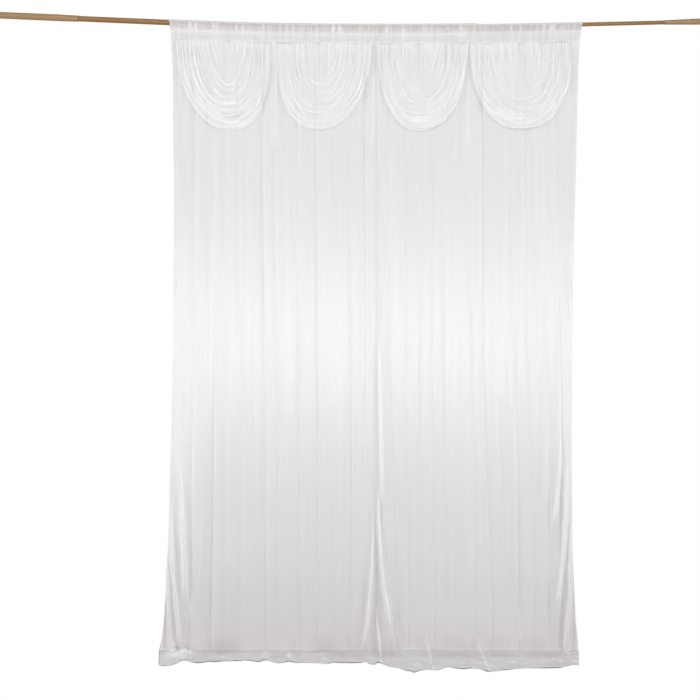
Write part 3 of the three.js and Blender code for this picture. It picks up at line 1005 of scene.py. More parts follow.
    def floor_rows(self, grid: list[np.ndarray], share: np.ndarray) -> np.ndarray:
        """Add the bend at the floor and the hem that lies forward on it.

        Args:
            grid: Rows so far, the last one where the bend starts.
            share: Share of the panel's width for each column.

        Returns:
            All rows as one array.
        """
        contact = self.across_at(0.0, share)
        last = grid[-1]
        relief = (ROD_DEPTH - self.foot) - last[:, 1]
        lap = np.maximum(self.overlap(contact, np.zeros_like(contact)), 0.0) * 0.6
        for step in np.linspace(0.0, 1.0, self.BEND_ROWS + 1)[1:]:
            angle = step * math.pi / 2
            forward = self.foot + self.bend_radius * (1 - math.cos(angle)) + relief * math.cos(angle)
            z = self.bend_radius * (1 - math.sin(angle)) + self.thickness + lap * step
            z = z + np.maximum(self.crushing(contact, np.full_like(contact, -10.0 * step)), 0.0) * step
            grid.append(row_of(mix(last[:, 0], contact, step), forward, z))
        left, right = self.edge_names
        hem_x = mix(getattr(HEM_ENDS, left), getattr(HEM_ENDS, right), share)
        reach = np.interp(hem_x, list(HEM_REACH), list(HEM_REACH.values()))
        reach = reach + 3.0 * Unevenness(self.seed + 10, 34.0, 100.0).at(hem_x, 0.0)
        outer = hem_x[0] if self.side is Side.LEFT else hem_x[-1]
        reach = reach - self.corner * bell(hem_x - outer, self.corner / 2)
        start = self.foot + self.bend_radius
        pleats = sum(pleat.at(hem_x) for pleat in FLOOR_PLEATS)
        ripple = Unevenness(self.seed + 6, 34.0, 32.0)
        wave = Unevenness(self.seed + 7, 90.0, 300.0)
        for step in np.linspace(0.0, 1.0, self.HEM_ROWS + 1)[1:]:
            x = mix(contact, hem_x, step)
            forward = mix(start, reach, step)
            lift = self.ripple * (1 + ripple.at(x, forward)) * smooth(0.0, 0.3, step)
            edge = self.edge_lift * (0.7 + 0.3 * wave.at(x, 0.0)) * smooth(0.8, 0.97, step)
            dent = np.maximum(self.crushing(x, -10.0 - (forward - start)), -lift)
            pinch = sum(ridge.rise(x, start - forward) for ridge in self.ridges)
            broken = 0.55 + 0.45 * crushed(self.seed + 17, 14.0, x, forward)
            heap = sum(pile.at(x, forward) for pile in PILES) * broken
            lift = lift + pinch * smooth(1.0, 0.8, step) + np.maximum(heap, 0.0)
            lift = lift + sum(curl.at(x, forward) for curl in CURLS)
            grid.append(row_of(x, forward, self.thickness + lap + pleats * step * step + lift + edge + dent))
        return np.stack(grid + self.rolled_edge(grid[-1]))

    def rolled_edge(self, last: np.ndarray) -> list[np.ndarray]:
        """Narrow roll that turns the hem's edge down and back under it.

        Args:
            last: Row of the hem's edge.

        Returns:
            The rows round the roll.
        """
        rows = []
        for share in np.linspace(0.0, 1.0, self.ROLL_ROWS + 1)[1:]:
            turn = share * self.roll_turn
            out, down = self.roll * math.sin(turn), self.roll * (1 - math.cos(turn))
            row = last.copy()
            row[:, 1] -= out
            row[:, 2] = np.maximum(row[:, 2] - down, self.thickness)
            rows.append(row)
        return rows

    def tightness(self, grid: np.ndarray) -> np.ndarray:
        """Where the pocket lies tight on the rod: not in its bunches, and unevenly between them.

        Args:
            grid: Points in millimetres, rows by columns by three.

        Returns:
            From 0 to 1 at each point.
        """
        x, z = grid[:, :, 0], grid[:, :, 2]
        near = smooth(11.0, 0.0, np.abs(z - self.bow.height(x) + 12.0) - 0.75 * self.pocket.radius(x))
        bunched = smooth(0.55, 0.9, self.bunched(x, z))
        gathered = smooth(-0.2, 0.6, Unevenness(self.seed + 13, 80.0, 300.0).at(x, z))
        mottled = 0.75 + 0.25 * Unevenness(self.seed + 14, 6.0, 5.0).at(x, z)
        return near * mottled * (1 - 0.9 * bunched * mix(0.5, 1.0, gathered))

    def inward(self, grid: np.ndarray) -> np.ndarray:
        """How far each point is from the panel's outer edge."""
        x = grid[:, :, 0]
        return np.abs(x - x[:, [0 if self.side is Side.LEFT else -1]])

    def past(self, grid: np.ndarray) -> np.ndarray:
        """How many rows each point is past the one where the hem starts to lie on the floor."""
        hem_row = grid.shape[0] - 1 - self.ROLL_ROWS - self.HEM_ROWS
        return (np.arange(grid.shape[0]) - hem_row)[:, None] * np.ones_like(grid[:, :, 0])

    def lies(self, grid: np.ndarray) -> np.ndarray:
        """Where the cloth lies on the floor: 1 there and 0 where it hangs."""
        return smooth(-1.0, 1.0, self.past(grid))

    def heaped(self, grid: np.ndarray, forward: np.ndarray) -> np.ndarray:
        """How far each point belongs to a heap of cloth, from 0 to 1."""
        near = sum(pile.at(grid[:, :, 0], forward) / pile.height for pile in PILES)
        return np.clip(2.0 * near, 0.0, 1.0) * smooth(90.0, 30.0, grid[:, :, 2])

    def hiding(self, grid: np.ndarray, tight: np.ndarray) -> np.ndarray:
        """How much the cloth hides: little where tight on the rod, nearly all in a seam or a pinched fold.

        Args:
            grid: Points in millimetres, rows by columns by three.
            tight: Where the pocket is tight on the rod.

        Returns:
            The trait cover at each point.
        """
        x, z = grid[:, :, 0], grid[:, :, 2]
        below = self.pocket.seam(x, self.bow) - z
        lips = np.clip(sum(crease.lip(x, z) for crease in self.creases), 0.0, 1.0)
        doubled = 0.16 * lips * smooth(300.0, 1100.0, z) + 0.2 * smooth(2150.0, 2500.0, z)
        between = sum(fold.at(x) for fold in BETWEEN_SWAGS)
        doubled += 0.5 * between * smooth(2240.0, 2330.0, z) * smooth(0.0, 12.0, below)
        fine = 0.09 * Unevenness(self.seed + 18, 19.0, 420.0).at(x, z)
        fine += 0.04 * Unevenness(self.seed + 19, 7.0, 150.0).at(x, z)
        doubled += fine * mix(0.3, 1.0, smooth(100.0, 800.0, z)) * smooth(0.0, 40.0, z)
        doubled += 0.25 * smooth(0.2, 0.9, self.bunched(x, z)) * smooth(25.0, 0.0, below)
        at_edge = smooth(self.edge_reach, 15.0, self.inward(grid))
        doubled += self.edge_cover * at_edge * smooth(1500.0, 700.0, z)
        cover = mix(self.cover, self.cover_in_fold, np.clip(doubled, -0.3, 1.0))
        cover = mix(cover, self.cover_on_rod, tight)
        cover = mix(cover, self.cover_over_rod, smooth(0.0, 7.0, z - self.bow.height(x)))
        broken = 0.7 + 0.3 * Unevenness(self.seed + 21, 28.0, 50.0).at(x, z)
        cover = mix(cover, self.cover_at_seam, bell(below - 1.0, 6.0) * broken)
        pinched = np.clip(sum(ridge.weight(x, z) for ridge in self.ridges), 0.0, 1.0)
        cover = mix(cover, self.cover_in_fold, pinched)
        return mix(cover, self.cover_in_heap, self.heaped(grid, ROD_DEPTH - grid[:, :, 1]))

    def turn(self, x: np.ndarray) -> np.ndarray:
        """How far forward the darkest band of painted shade runs on the hem past the turn onto the floor."""
        stray = 9.0 * Unevenness(self.seed + 24, 70.0, 1.0).at(x, 0.0)
        return mix(14.0, 76.0, smooth(-115.0, -55.0, x)) + stray

    def shade_patchiness(self, x: np.ndarray) -> np.ndarray:
        """How strongly the painted shade at the turn onto the floor shows."""
        return np.clip(0.1 + sum(patch.at(x) for patch in SHADE_PATCHES), 0.0, 1.0)

    def dimming(self, grid: np.ndarray, tight: np.ndarray) -> np.ndarray:
        """Painted tint of the rod seen through the pocket, and painted shade: darker and warmer low down,
        at the turn onto the floor, and a little on the pocket above the seam.

        Args:
            grid: Points in millimetres, rows by columns by three.
            tight: Where the pocket is tight on the rod.

        Returns:
            The trait dim at each point.
        """
        x, z = grid[:, :, 0], grid[:, :, 2]
        lies = self.lies(grid)
        forward = np.maximum(ROD_DEPTH - grid[:, :, 1] - self.foot, 0.0)
        # Painted shade: darker towards the floor, and on the hem in a patchy band past the turn.
        shade = (0.02 * smooth(700.0, 420.0, z) + 0.15 * smooth(200.0, 10.0, z)) * (1 - lies)
        uneven_shade = 1.0 + 0.35 * Unevenness(self.seed + 22, 15.0, 60.0).at(x, forward)
        band = bell(forward - self.turn(x), 36.0) * mix(0.3, 1.0, self.shade_patchiness(x))
        shade += (0.05 + 0.03 * smooth(170.0, 60.0, forward) + 0.13 * band) * lies * uneven_shade
        # Painted tint, a little darker and warmer, on the pocket above the seam.
        shade += 0.04 * smooth(3.0, -6.0, self.pocket.seam(x, self.bow) - z)
        return (self.tint_on_rod * tight + shade) * (1 - self.heaped(grid, forward + self.foot))

    def shadow_lines(self, grid: np.ndarray) -> np.ndarray:
        """Painted shadow under the hem's rolled edge and outer edge, and painted shade at the turn to the
        floor.

        Args:
            grid: Points in millimetres, rows by columns by three.

        Returns:
            The trait painted_shadow at each point.
        """
        x, z = grid[:, :, 0], grid[:, :, 2]
        past, lies = self.past(grid), self.lies(grid)
        broken_line = mix(0.3, 1.0, smooth(-0.1, 0.5, Unevenness(self.seed + 16, 38.0, 1.0).at(x, 0.0)))
        # Painted shadow along the panel's outer edge where it meets the floor.
        side = self.edge_shadow * bell(self.inward(grid), 2.4) * smooth(30.0, 0.0, z)
        forward = np.maximum(ROD_DEPTH - grid[:, :, 1] - self.foot, 0.0) * lies
        # Painted shade patches where the cloth turns onto the floor, and just above that turn.
        patch_shade = self.shade_patchiness(x)
        turned = mix(0.35, 1.0, bell(forward - self.turn(x), 38.0))
        soft = 0.13 * patch_shade * smooth(140.0, 80.0, forward) * turned * smooth(90.0, 5.0, z)
        soft = soft + (0.02 + 0.025 * patch_shade) * smooth(75.0, 0.0, z) * (1 - lies)
        patchy = 0.6 + 0.5 * Unevenness(self.seed + 23, 45.0, 1.0).at(x, 0.0)
        soft = soft + 0.11 * patchy * bell(past + 2.2, 2.4)
        # Painted shadow under the rolled edge of the hem.
        rolled = smooth(self.HEM_ROWS + 0.5, self.HEM_ROWS + 2.0, past)
        return np.maximum(0.95 * broken_line * rolled, np.maximum(side, soft))

    def build(self) -> bpy.types.Object:
        """Make the sheet.

        Returns:
            Its object.
        """
        grid = self.rows()
        tight = self.tightness(grid)
        traits = {
            "cover": self.hiding(grid, tight),
            "dim": self.dimming(grid, tight),
            "painted_shadow": self.shadow_lines(grid),
        }
        return sheet_object(f"cloth_{self.name}", grid, self.flat, self.thickness, self.shares(), traits)

    def seam_path(self) -> np.ndarray:
        """Line of the pocket's stitches on the face of the cloth.

        Returns:
            Its points in millimetres.
        """
        share = np.linspace(0.004, 0.996, 240)
        z = self.pocket.seam(self.across_at(POCKET_TOP, share), self.bow) - 1.0
        x = self.across_at(z, share)
        return row_of(x, self.folds(x, z) + self.seam_ridge(1.0) + self.thickness / 2, z)

    def dress(self, sheet: bpy.types.Object, satin: bpy.types.Material, sewn: list[bpy.types.Object]) -> None:
        """Give the sheet its finish, hang it on the root body and hide the part's own node.

        Args:
            sheet: The panel's sheet.
            satin: Its finish.
            sewn: Pieces sewn to it; not used.
        """
        sheet.data.materials.append(satin)
        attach(sheet, "root")
        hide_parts(self.name)


@dataclass(frozen=True)
class SwagPleat:
    """One nested fold of a swag: its share of the way to the hem, its rise, and how far each third shows."""

    share: float
    rise: float
    left: float
    bottom: float
    right: float

    ROLL = 0.026
    CREST = 0.0075

    def shown(self, turn: np.ndarray) -> np.ndarray:
        """How far the fold shows on its way round.

        Args:
            turn: Share of the way round, from the right end to the left end.

        Returns:
            From 0 to 1 at each point.
        """
        on_left = smooth(0.45, 0.75, turn)
        on_right = smooth(0.55, 0.25, turn)
        return self.left * on_left + self.right * on_right + self.bottom * (1 - on_left - on_right)

    def crest(self, place: np.ndarray, turn: np.ndarray) -> np.ndarray:
        """Nearness to the fold's crisp crest, from 0 to 1."""
        return self.shown(turn) * bell(place - self.share, self.CREST)

    def relief(self, place: np.ndarray, turn: np.ndarray) -> np.ndarray:
        """Height of the fold in millimetres: a soft roll with a crisp crest near its outer side.

        Args:
            place: Share of the way to the hem.
            turn: Share of the way round, from the right end to the left end.

        Returns:
            Height at each point.
        """
        away = place - self.share
        roll = bell(away, np.where(away < 0, self.ROLL, self.ROLL * 0.45))
        return self.rise * (0.6 * self.shown(turn) * roll + 0.85 * self.crest(place, turn))


@dataclass
class Swag:
    """A pleated swag that is sewn on under the pocket and hangs in nested curves."""

    name: str
    panel: Panel
    left: float
    right: float
    low: float
    bottom: float
    round_left: float
    round_right: float
    seed: int
    pleats: tuple[SwagPleat, ...]
    flat: Point = (0.50, 0.36)
    thickness: float = 0.6
    columns: int = 225
    lines: int = 100
    first: float = 0.07
    point: float = 1.7
    spread: float = 0.8
    tucked: float = -1.0
    layer: float = 1.3
    swell: float = 13.0
    swell_full: float = 0.66
    hem_share: float = 0.2
    centre_from: float = 0.42
    cover: float = 0.70
    cover_at_hem: float = 0.65
    cover_on_crest: float = 0.82

    def wander(self, share: float, turn: np.ndarray, number: int) -> tuple[np.ndarray, np.ndarray]:
        """Where a line of the swag lies for one of its folds, and how strongly that fold shows there.

        Args:
            share: Share of the way to the hem.
            turn: Share of the way round.
            number: Number of the fold.

        Returns:
            The line's place and the fold's strength at each point.
        """
        stray = 0.008 * Unevenness(self.seed, 0.21, 0.3).at(turn, share)
        stray = stray + 0.018 * Unevenness(self.seed + 20 + number, 0.17, 1.0).at(turn, 0.0)
        strength = 0.5 + 1.1 * Unevenness(self.seed + 50 + number, 0.12, 1.0).at(turn, 0.0)
        centre = smooth(0.34, 0.16, np.abs(turn - 0.5))
        plain = smooth(self.centre_from - 0.06, self.centre_from + 0.02, self.pleats[number].share)
        return share + stray, np.maximum(strength, 0.0) * mix(1.0, plain, centre)

    def relief(self, share: float, turn: np.ndarray) -> np.ndarray:
        """Nested folds and the fine lines between them.

        Args:
            share: Share of the way to the hem.
            turn: Share of the way round.

        Returns:
            Millimetres at each point.
        """
        folds = 0.0
        for number, pleat in enumerate(self.pleats):
            place, strength = self.wander(share, turn, number)
            folds = folds + pleat.relief(place, turn) * strength
        lines = np.abs(Unevenness(self.seed + 2, 0.022, 0.16).at(share, turn))
        tucks = np.abs(Unevenness(self.seed + 3, 0.045, 0.3).at(share + 0.1 * turn, turn))
        flank = smooth(0.12, 0.3, np.abs(turn - 0.5))
        fine = mix(0.25 + 0.75 * flank, 1.0, smooth(0.34, 0.5, share))
        return folds + fine * (0.9 * (1 - 2 * lines) + 1.1 * (1 - 2 * tucks))

    def hiding(self) -> np.ndarray:
        """How much the gathered cloth hides: less towards the hem, and most along the crests.

        Returns:
            The trait cover at each point.
        """
        turn = np.linspace(1.0, 0.0, self.columns)
        grid = []
        for share, _ in self.steps():
            crest = 0.0
            for number, pleat in enumerate(self.pleats):
                place, strength = self.wander(share, turn, number)
                crest = crest + pleat.crest(place, turn) * strength
            plain = mix(self.cover, self.cover_at_hem, smooth(0.3, 0.8, share))
            grid.append(mix(plain, self.cover_on_crest, np.clip(crest, 0.0, 1.0)))
        return np.stack(grid)

    def steps(self) -> list[Point]:
        """Share of the way to the hem and share of the drop for each row."""
        top = [(self.first, drop) for drop in np.linspace(0.0, 1.0, 5)]
        return top + [(share, 1.0) for share in np.linspace(self.first, 1.0, self.lines)[1:]]

    def stand(self, share: float) -> float:
        """How far the swag bulges off the panel; it comes back towards its hem."""
        back = (1 - self.hem_share) * smooth(self.swell_full, 1.0, share)
        return float(self.swell * smooth(0.0, self.swell_full, share) * (1 - back))

    def seam(self, x: Value) -> np.ndarray:
        """Height of the panel's seam at that place across."""
        return self.panel.pocket.seam(x, self.panel.bow)

    def rows(self) -> np.ndarray:
        """Points of the sheet from its top edge at the seam to its curved hem.

        Returns:
            Places in millimetres, rows by columns by three.
        """
        angle = np.linspace(math.pi, 0.0, self.columns)
        turn = angle / math.pi
        on_left = angle > math.pi / 2
        outer = np.where(on_left, self.round_left, self.round_right)
        half = np.where(on_left, self.left - self.low, self.right - self.low)
        depth = self.seam(self.low) - self.bottom
        grid = []
        for share, drop in self.steps():
            power = 2 / mix(self.point, outer, smooth(0.1, 0.62, share))
            x = self.low + np.abs(np.cos(angle)) ** power * half * share
            fall = depth * share**self.spread * drop * np.sin(angle) ** power
            z = self.seam(x) + self.tucked - fall
            freed = smooth(0.0, 70.0, fall)
            forward = self.panel.folds(x, z) + self.layer + self.stand(share) * smooth(0.0, 190.0, fall)
            forward = forward + self.relief(share, turn) * mix(0.4, 1.0, freed) + self.gathers(x, z, fall)
            grid.append(row_of(x, forward + self.panel.seam_ridge(self.seam(x) - z), z))
        return np.stack(grid)

    def gathers(self, x: np.ndarray, z: np.ndarray, fall: np.ndarray) -> np.ndarray:
        """Tight gathers under the seam.

        Args:
            x: Places across.
            z: Heights.
            fall: How far each point is below the seam.

        Returns:
            Millimetres forward at each point.
        """
        tight = 1 - 2 * np.abs(Unevenness(self.seed + 1, 9.0, 400.0).at(x, z))
        loose = Unevenness(self.seed + 4, 21.0, 500.0).at(x, z)
        return (1.5 * tight + 2.1 * loose + 1.0) * smooth(210.0, 60.0, fall)

    def build(self) -> bpy.types.Object:
        """Make the sheet.

        Returns:
            Its object.
        """
        share = np.linspace(0.0, 1.0, self.columns)
        traits = {"cover": self.hiding(), "dim": 0.0, "painted_shadow": 0.0}
        return sheet_object(f"cloth_{self.name}", self.rows(), self.flat, self.thickness, share, traits)

    def dress(self, sheet: bpy.types.Object, satin: bpy.types.Material) -> None:
        """Give the sheet its finish, hang it on the root body and hide the part's own node.

        Args:
            sheet: The swag's sheet.
            satin: Its finish.
        """
        sheet.data.materials.append(satin)
        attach(sheet, "root")
        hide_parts(self.name)


@dataclass
class RodPiece:
    """Turned piece of the rod, lifted onto the bow; its profile is radii and places along the rod."""

    name: str
    node: str
    slot: str
    profile: tuple[Point, ...]
    sides: int = 40
    station: float = 30.0
    bow: Bow = field(default_factory=Bow)

    def rings(self) -> list[Point]:
        """Points of the profile, with more between them where a stretch is long.

        Returns:
            Radii and places along the rod.
        """
        rings = []
        for (radius, x), (next_radius, next_x) in zip(self.profile, self.profile[1:]):
            steps = max(1, round(abs(next_x - x) / self.station))
            rings += [(mix(radius, next_radius, i / steps), mix(x, next_x, i / steps)) for i in range(steps)]
        return [*rings, self.profile[-1]]

    def build(self) -> bpy.types.Object:
        """Make the closed piece; its first and last rings are shut with flat ends.

        Returns:
            Its object.
        """
        angle = np.linspace(0.0, 2 * math.pi, self.sides, endpoint=False)
        rows = [
            row_of(x, -radius * np.sin(angle), self.bow.height(x) + radius * np.cos(angle))
            for radius, x in self.rings()
        ]
        side = np.arange(self.sides)
        after = (side + 1) % self.sides
        band = np.stack([side, self.sides + side, self.sides + after, after], axis=1)
        faces = np.concatenate([band + ring * self.sides for ring in range(len(rows) - 1)])
        obj = mesh_object(self.name, np.concatenate(rows), faces)
        last = (len(rows) - 1) * self.sides
        add_end_caps(obj, [side.tolist(), (last + side[::-1]).tolist()])
        return obj

    def dress(self, piece: bpy.types.Object, paint: bpy.types.Material) -> None:
        """Give the piece its finish, hang it on the root body and hide the node it stands for.

        Args:
            piece: The piece's object.
            paint: Its finish.
        """
        piece.data.materials.append(paint)
        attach(piece, "root")
        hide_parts(self.node)


def add_end_caps(obj: bpy.types.Object, caps: list[list[int]]) -> None:
    """Shut an open turned piece with flat faces and point all its faces outwards.

    Args:
        obj: Object with the open mesh.
        caps: Point numbers round each end.
    """
    shape = bmesh.new()
    shape.from_mesh(obj.data)
    shape.verts.ensure_lookup_table()
    for cap in caps:
        shape.faces.new([shape.verts[index] for index in cap]).smooth = False
    bmesh.ops.recalc_face_normals(shape, faces=shape.faces)
    shape.to_mesh(obj.data)
    shape.free()


@dataclass
class Rod:
    """The telescopic rod's four pieces."""

    half_length: float = 1640.0
    rim: float = 1.2

    def pieces(self) -> list[RodPiece]:
        """The pieces from left to right, each up to where it goes into the next.

        Returns:
            Outer sleeve, main tube, thin tube and tapered end.
        """
        end, rim = self.half_length, self.rim
        sleeve = (
            (14.5 - rim, -end), (14.5, -end + rim), (14.5, -1305), (13.3, -1228),
            (13.0, -1224.4), (12.4, -1224), (12.3, -1226), (12.3, -1293.5),
        )
        main = ((12, -1293.4), (12, 538.6), (11.4, 540), (9.0, 540), (8.9, 539), (8.8, 451))
        thin = ((8.5, 450.5), (8.5, 1502.5))
        tapered = (
            (8.8, 1502.8), (8.8, 1414), (9.0, 1413), (9.4, 1413.2),
            (13, 1557), (13, end - rim), (13 - rim, end),
        )
        return [
            RodPiece("rod_outer_sleeve", "rod_end_left", "rod_pale", sleeve),
            RodPiece("rod_main_tube", "rod_left", "rod_dark", main),
            RodPiece("rod_thin_tube", "rod_right", "rod_dark", thin),
            RodPiece("rod_tapered_end", "rod_end_right", "rod_pale", tapered),
        ]


@dataclass
class StitchLine:
    """Row of stitches along a line on the cloth, repeated by Geometry Nodes."""

    name: str
    path: np.ndarray
    pitch: float = 3.6
    length: float = 2.6
    thread: float = 0.35

    def tree(self, thread: bpy.types.Material) -> bpy.types.NodeTree:
        """Build the node tree that lays stitches along a curve.

        Args:
            thread: Material of the stitches.

        Returns:
            The tree, with its sizes as named inputs.
        """
        tree = bpy.data.node_groups.new("stitches along a seam", "GeometryNodeTree")
        tree.interface.new_socket("Geometry", in_out="INPUT", socket_type="NodeSocketGeometry")
        for size in ("Pitch", "Length", "Radius"):
            tree.interface.new_socket(size, in_out="INPUT", socket_type="NodeSocketFloat")
        tree.interface.new_socket("Geometry", in_out="OUTPUT", socket_type="NodeSocketGeometry")
        given = add_node(tree, "NodeGroupInput").outputs
        line = {"Curve": given["Geometry"], "Length": given["Pitch"]}
        spaced = add_node(tree, "GeometryNodeResampleCurve", line, mode="LENGTH").outputs[0]
        points = add_node(tree, "GeometryNodeCurveToPoints", {"Curve": spaced}, mode="EVALUATED").outputs
        ball = {"Segments": 6, "Rings": 4, "Radius": given["Radius"]}
        bead = add_node(tree, "GeometryNodeMeshUVSphere", ball).outputs["Mesh"]
        sizes = {0: given["Length"], 1: given["Radius"]}
        stretch = add_node(tree, "ShaderNodeMath", sizes, operation="DIVIDE").outputs[0]
        halved = add_node(tree, "ShaderNodeMath", {0: stretch, 1: 2.0}, operation="DIVIDE").outputs[0]
        scale = add_node(tree, "ShaderNodeCombineXYZ", {"X": 1.0, "Y": 1.0, "Z": halved}).outputs[0]
        tangent = {"Vector": points["Tangent"]}
        turned = add_node(tree, "FunctionNodeAlignRotationToVector", tangent, axis="Z").outputs[0]
        stitch = {"Points": points["Points"], "Instance": bead, "Rotation": turned, "Scale": scale}
        placed = add_node(tree, "GeometryNodeInstanceOnPoints", stitch).outputs[0]
        real = add_node(tree, "GeometryNodeRealizeInstances", {"Geometry": placed}).outputs[0]
        finished = add_node(tree, "GeometryNodeSetMaterial", {"Geometry": real, "Material": thread})
        add_node(tree, "NodeGroupOutput", {"Geometry": finished.outputs[0]})
        return tree

    def build(self, thread: bpy.types.Material) -> bpy.types.Object:
        """Lay the stitches and turn them into a plain mesh.

        Args:
            thread: Material of the stitches.

        Returns:
            The stitches as one object.
        """
        curve = bpy.data.curves.new(self.name, "CURVE")
        curve.dimensions = "3D"
        spline = curve.splines.new("POLY")
        spline.points.add(len(self.path) - 1)
        for point, place in zip(spline.points, self.path * MM):
            point.co = (*place, 1.0)
        guide = link(bpy.data.objects.new(f"{self.name}_guide", curve))
        laid = guide.modifiers.new("stitches", "NODES")
        laid.node_group = self.tree(thread)
        sizes = {"Pitch": self.pitch, "Length": self.length, "Radius": self.thread}
        for item in laid.node_group.interface.items_tree:
            if item.in_out == "INPUT" and item.name in sizes:
                laid[item.identifier] = sizes[item.name] * MM
        evaluated = guide.evaluated_get(bpy.context.evaluated_depsgraph_get())
        mesh = bpy.data.meshes.new_from_object(evaluated)
        mesh.name = self.name
        mesh.shade_smooth()
        stitches = link(bpy.data.objects.new(self.name, mesh))
        bpy.data.objects.remove(guide)
        bpy.data.curves.remove(curve)
        return stitches

    def dress(self, stitches: bpy.types.Object) -> None:
        """Let the stitches go with the cloth."""
        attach(stitches, "root")


@dataclass
class Studio:
    """Camera, lights and pale floor."""

    distance: float = 4375.0
    eye: float = 1350.0
    lens: float = 50.0
    sensor: float = 36.0
    floor_half: float = 15000.0
    floor_level: float = -1.0
    board_level: float = -0.4
    felt_light: float = 0.425

    def camera(self) -> None:
        """Set the camera at the photograph's viewing angle."""
        data = bpy.data.cameras.new("camera")
        data.lens = self.lens
        data.sensor_width = self.sensor
        data.clip_end = 100.0
        camera = link(bpy.data.objects.new("camera", data))
        camera.location = (0.0, (ROD_DEPTH - self.distance) * MM, self.eye * MM)
        camera.rotation_euler = (math.pi / 2, 0.0, 0.0)
        bpy.context.scene.camera = camera

    def lamp(
        self, name: str, place: tuple, aim: tuple, size: Point, watts: float, spread: float = 180.0
    ) -> None:
        """Add a soft white rectangular lamp.

        Args:
            name: Name of the lamp.
            place: Where it stands, in metres.
            aim: The point it faces, in metres.
            size: Width and height in metres.
            watts: Power.
            spread: Angle of its beam in degrees.
        """
        data = bpy.data.lights.new(name, "AREA")
        data.shape = "RECTANGLE"
        data.size, data.size_y = size
        data.energy = watts
        data.spread = math.radians(spread)
        lamp = link(bpy.data.objects.new(name, data))
        lamp.location = place
        lamp.rotation_euler = (Vector(aim) - Vector(place)).to_track_quat("-Z", "Y").to_euler()

    def lights(self) -> None:
        """Light the cloth with a strip for its gloss, a soft top light and two boxes that graze it."""
        middle = (0.1, 0.15, 1.4)
        self.lamp("strip behind the camera", (0.0, -5.0, 1.46), middle, (5.0, 0.25), 116.0)
        self.lamp("ceiling box", (0.0, -2.0, 4.6), (0.1, 0.15, 2.3), (4.0, 1.2), 5.0, 70.0)
        self.lamp("left box", (-6.0, -1.5, 1.5), middle, (1.5, 2.5), 149.0)
        self.lamp("right box", (6.2, -1.5, 1.5), middle, (1.5, 2.5), 149.0)

    def world(self) -> None:
        """White background that shines only softly on the cloth."""
        world = bpy.data.worlds.new("white studio")
        bpy.context.scene.world = world
        world.use_nodes = True
        tree = world.node_tree
        tree.nodes.clear()
        camera_ray = add_node(tree, "ShaderNodeLightPath").outputs["Is Camera Ray"]
        seen = add_node(tree, "ShaderNodeBackground", {"Color": white_surroundings(tree), "Strength": 1.0})
        white = {"Color": linear_colour("#ffffff"), "Strength": self.felt_light}
        felt = add_node(tree, "ShaderNodeBackground", white)
        blend = add_node(tree, "ShaderNodeMixShader", {0: camera_ray, 1: felt.outputs[0], 2: seen.outputs[0]})
        add_node(tree, "ShaderNodeOutputWorld", {"Surface": blend.outputs[0]})

    def plane(self, name: str, low: Point, high: Point, level: float) -> bpy.types.Object:
        """Flat rectangle.

        Args:
            name: Name of the object.
            low: Its lowest corner in millimetres.
            high: Its highest corner in millimetres.
            level: Its height in millimetres.

        Returns:
            The object.
        """
        corners = [(*low, level), (high[0], low[1], level), (*high, level), (low[0], high[1], level)]
        return mesh_object(name, np.array(corners), [[0, 1, 2, 3]])

    def floor(self) -> None:
        """Lay the glowing pale floor; it shows no shadow and throws no light back up."""
        half = self.floor_half
        floor = self.plane("studio_floor", (-half, -half), (half, half), self.floor_level)
        floor.data.materials.append(StudioFloor().material())
        floor.visible_diffuse = False
        floor.visible_glossy = False
        floor.visible_transmission = False

    def floor_shade(self) -> None:
        """Lay an unseen brown board before the curtain, which dims and warms the light on its foot."""
        board = self.plane("floor_shade", (-1500.0, -900.0), (1700.0, 60.0), self.board_level)
        board.data.materials.append(BrownBoard().material())
        board.visible_camera = False

    def build(self) -> None:
        """Set up the whole studio."""
        self.camera()
        self.lights()
        self.world()
        self.floor()
        self.floor_shade()
        bpy.context.scene.view_settings.view_transform = "Standard"


SWAG_1_PLEATS = table(
    SwagPleat,
    (0.16, 1.5, 1.0, 0.1, 1.0), (0.24, 2.0, 1.0, 0.3, 1.0), (0.31, 2.0, 1.0, 0.2, 1.0),
    (0.40, 3.5, 0.6, 1.0, 1.0), (0.47, 2.0, 1.0, 0.4, 0.8), (0.55, 3.5, 1.0, 1.0, 1.0),
    (0.61, 3.0, 0.8, 1.0, 0.9), (0.665, 2.5, 1.0, 0.8, 0.6), (0.73, 3.0, 1.0, 0.3, 1.0),
    (0.81, 4.0, 0.9, 1.0, 0.7), (0.87, 3.0, 1.0, 0.3, 1.0), (0.93, 3.0, 0.8, 0.4, 1.0),
    (0.975, 2.5, 1.0, 1.0, 1.0),
)
SWAG_2_PLEATS = table(
    SwagPleat,
    (0.15, 1.5, 1.0, 0.1, 1.0), (0.22, 2.0, 1.0, 0.1, 0.8), (0.30, 2.5, 1.0, 0.2, 0.9),
    (0.38, 3.0, 0.7, 0.9, 1.0), (0.45, 2.0, 1.0, 0.2, 0.7), (0.52, 2.5, 1.0, 0.3, 1.0),
    (0.59, 3.5, 1.0, 0.3, 0.8), (0.645, 2.5, 0.6, 1.0, 0.8), (0.71, 3.0, 1.0, 0.3, 1.0),
    (0.76, 2.5, 0.9, 1.0, 0.5), (0.81, 2.5, 1.0, 0.9, 1.0), (0.87, 3.5, 1.0, 0.3, 0.8),
    (0.925, 3.0, 1.0, 0.5, 1.0), (0.975, 2.5, 0.9, 1.0, 1.0),
)
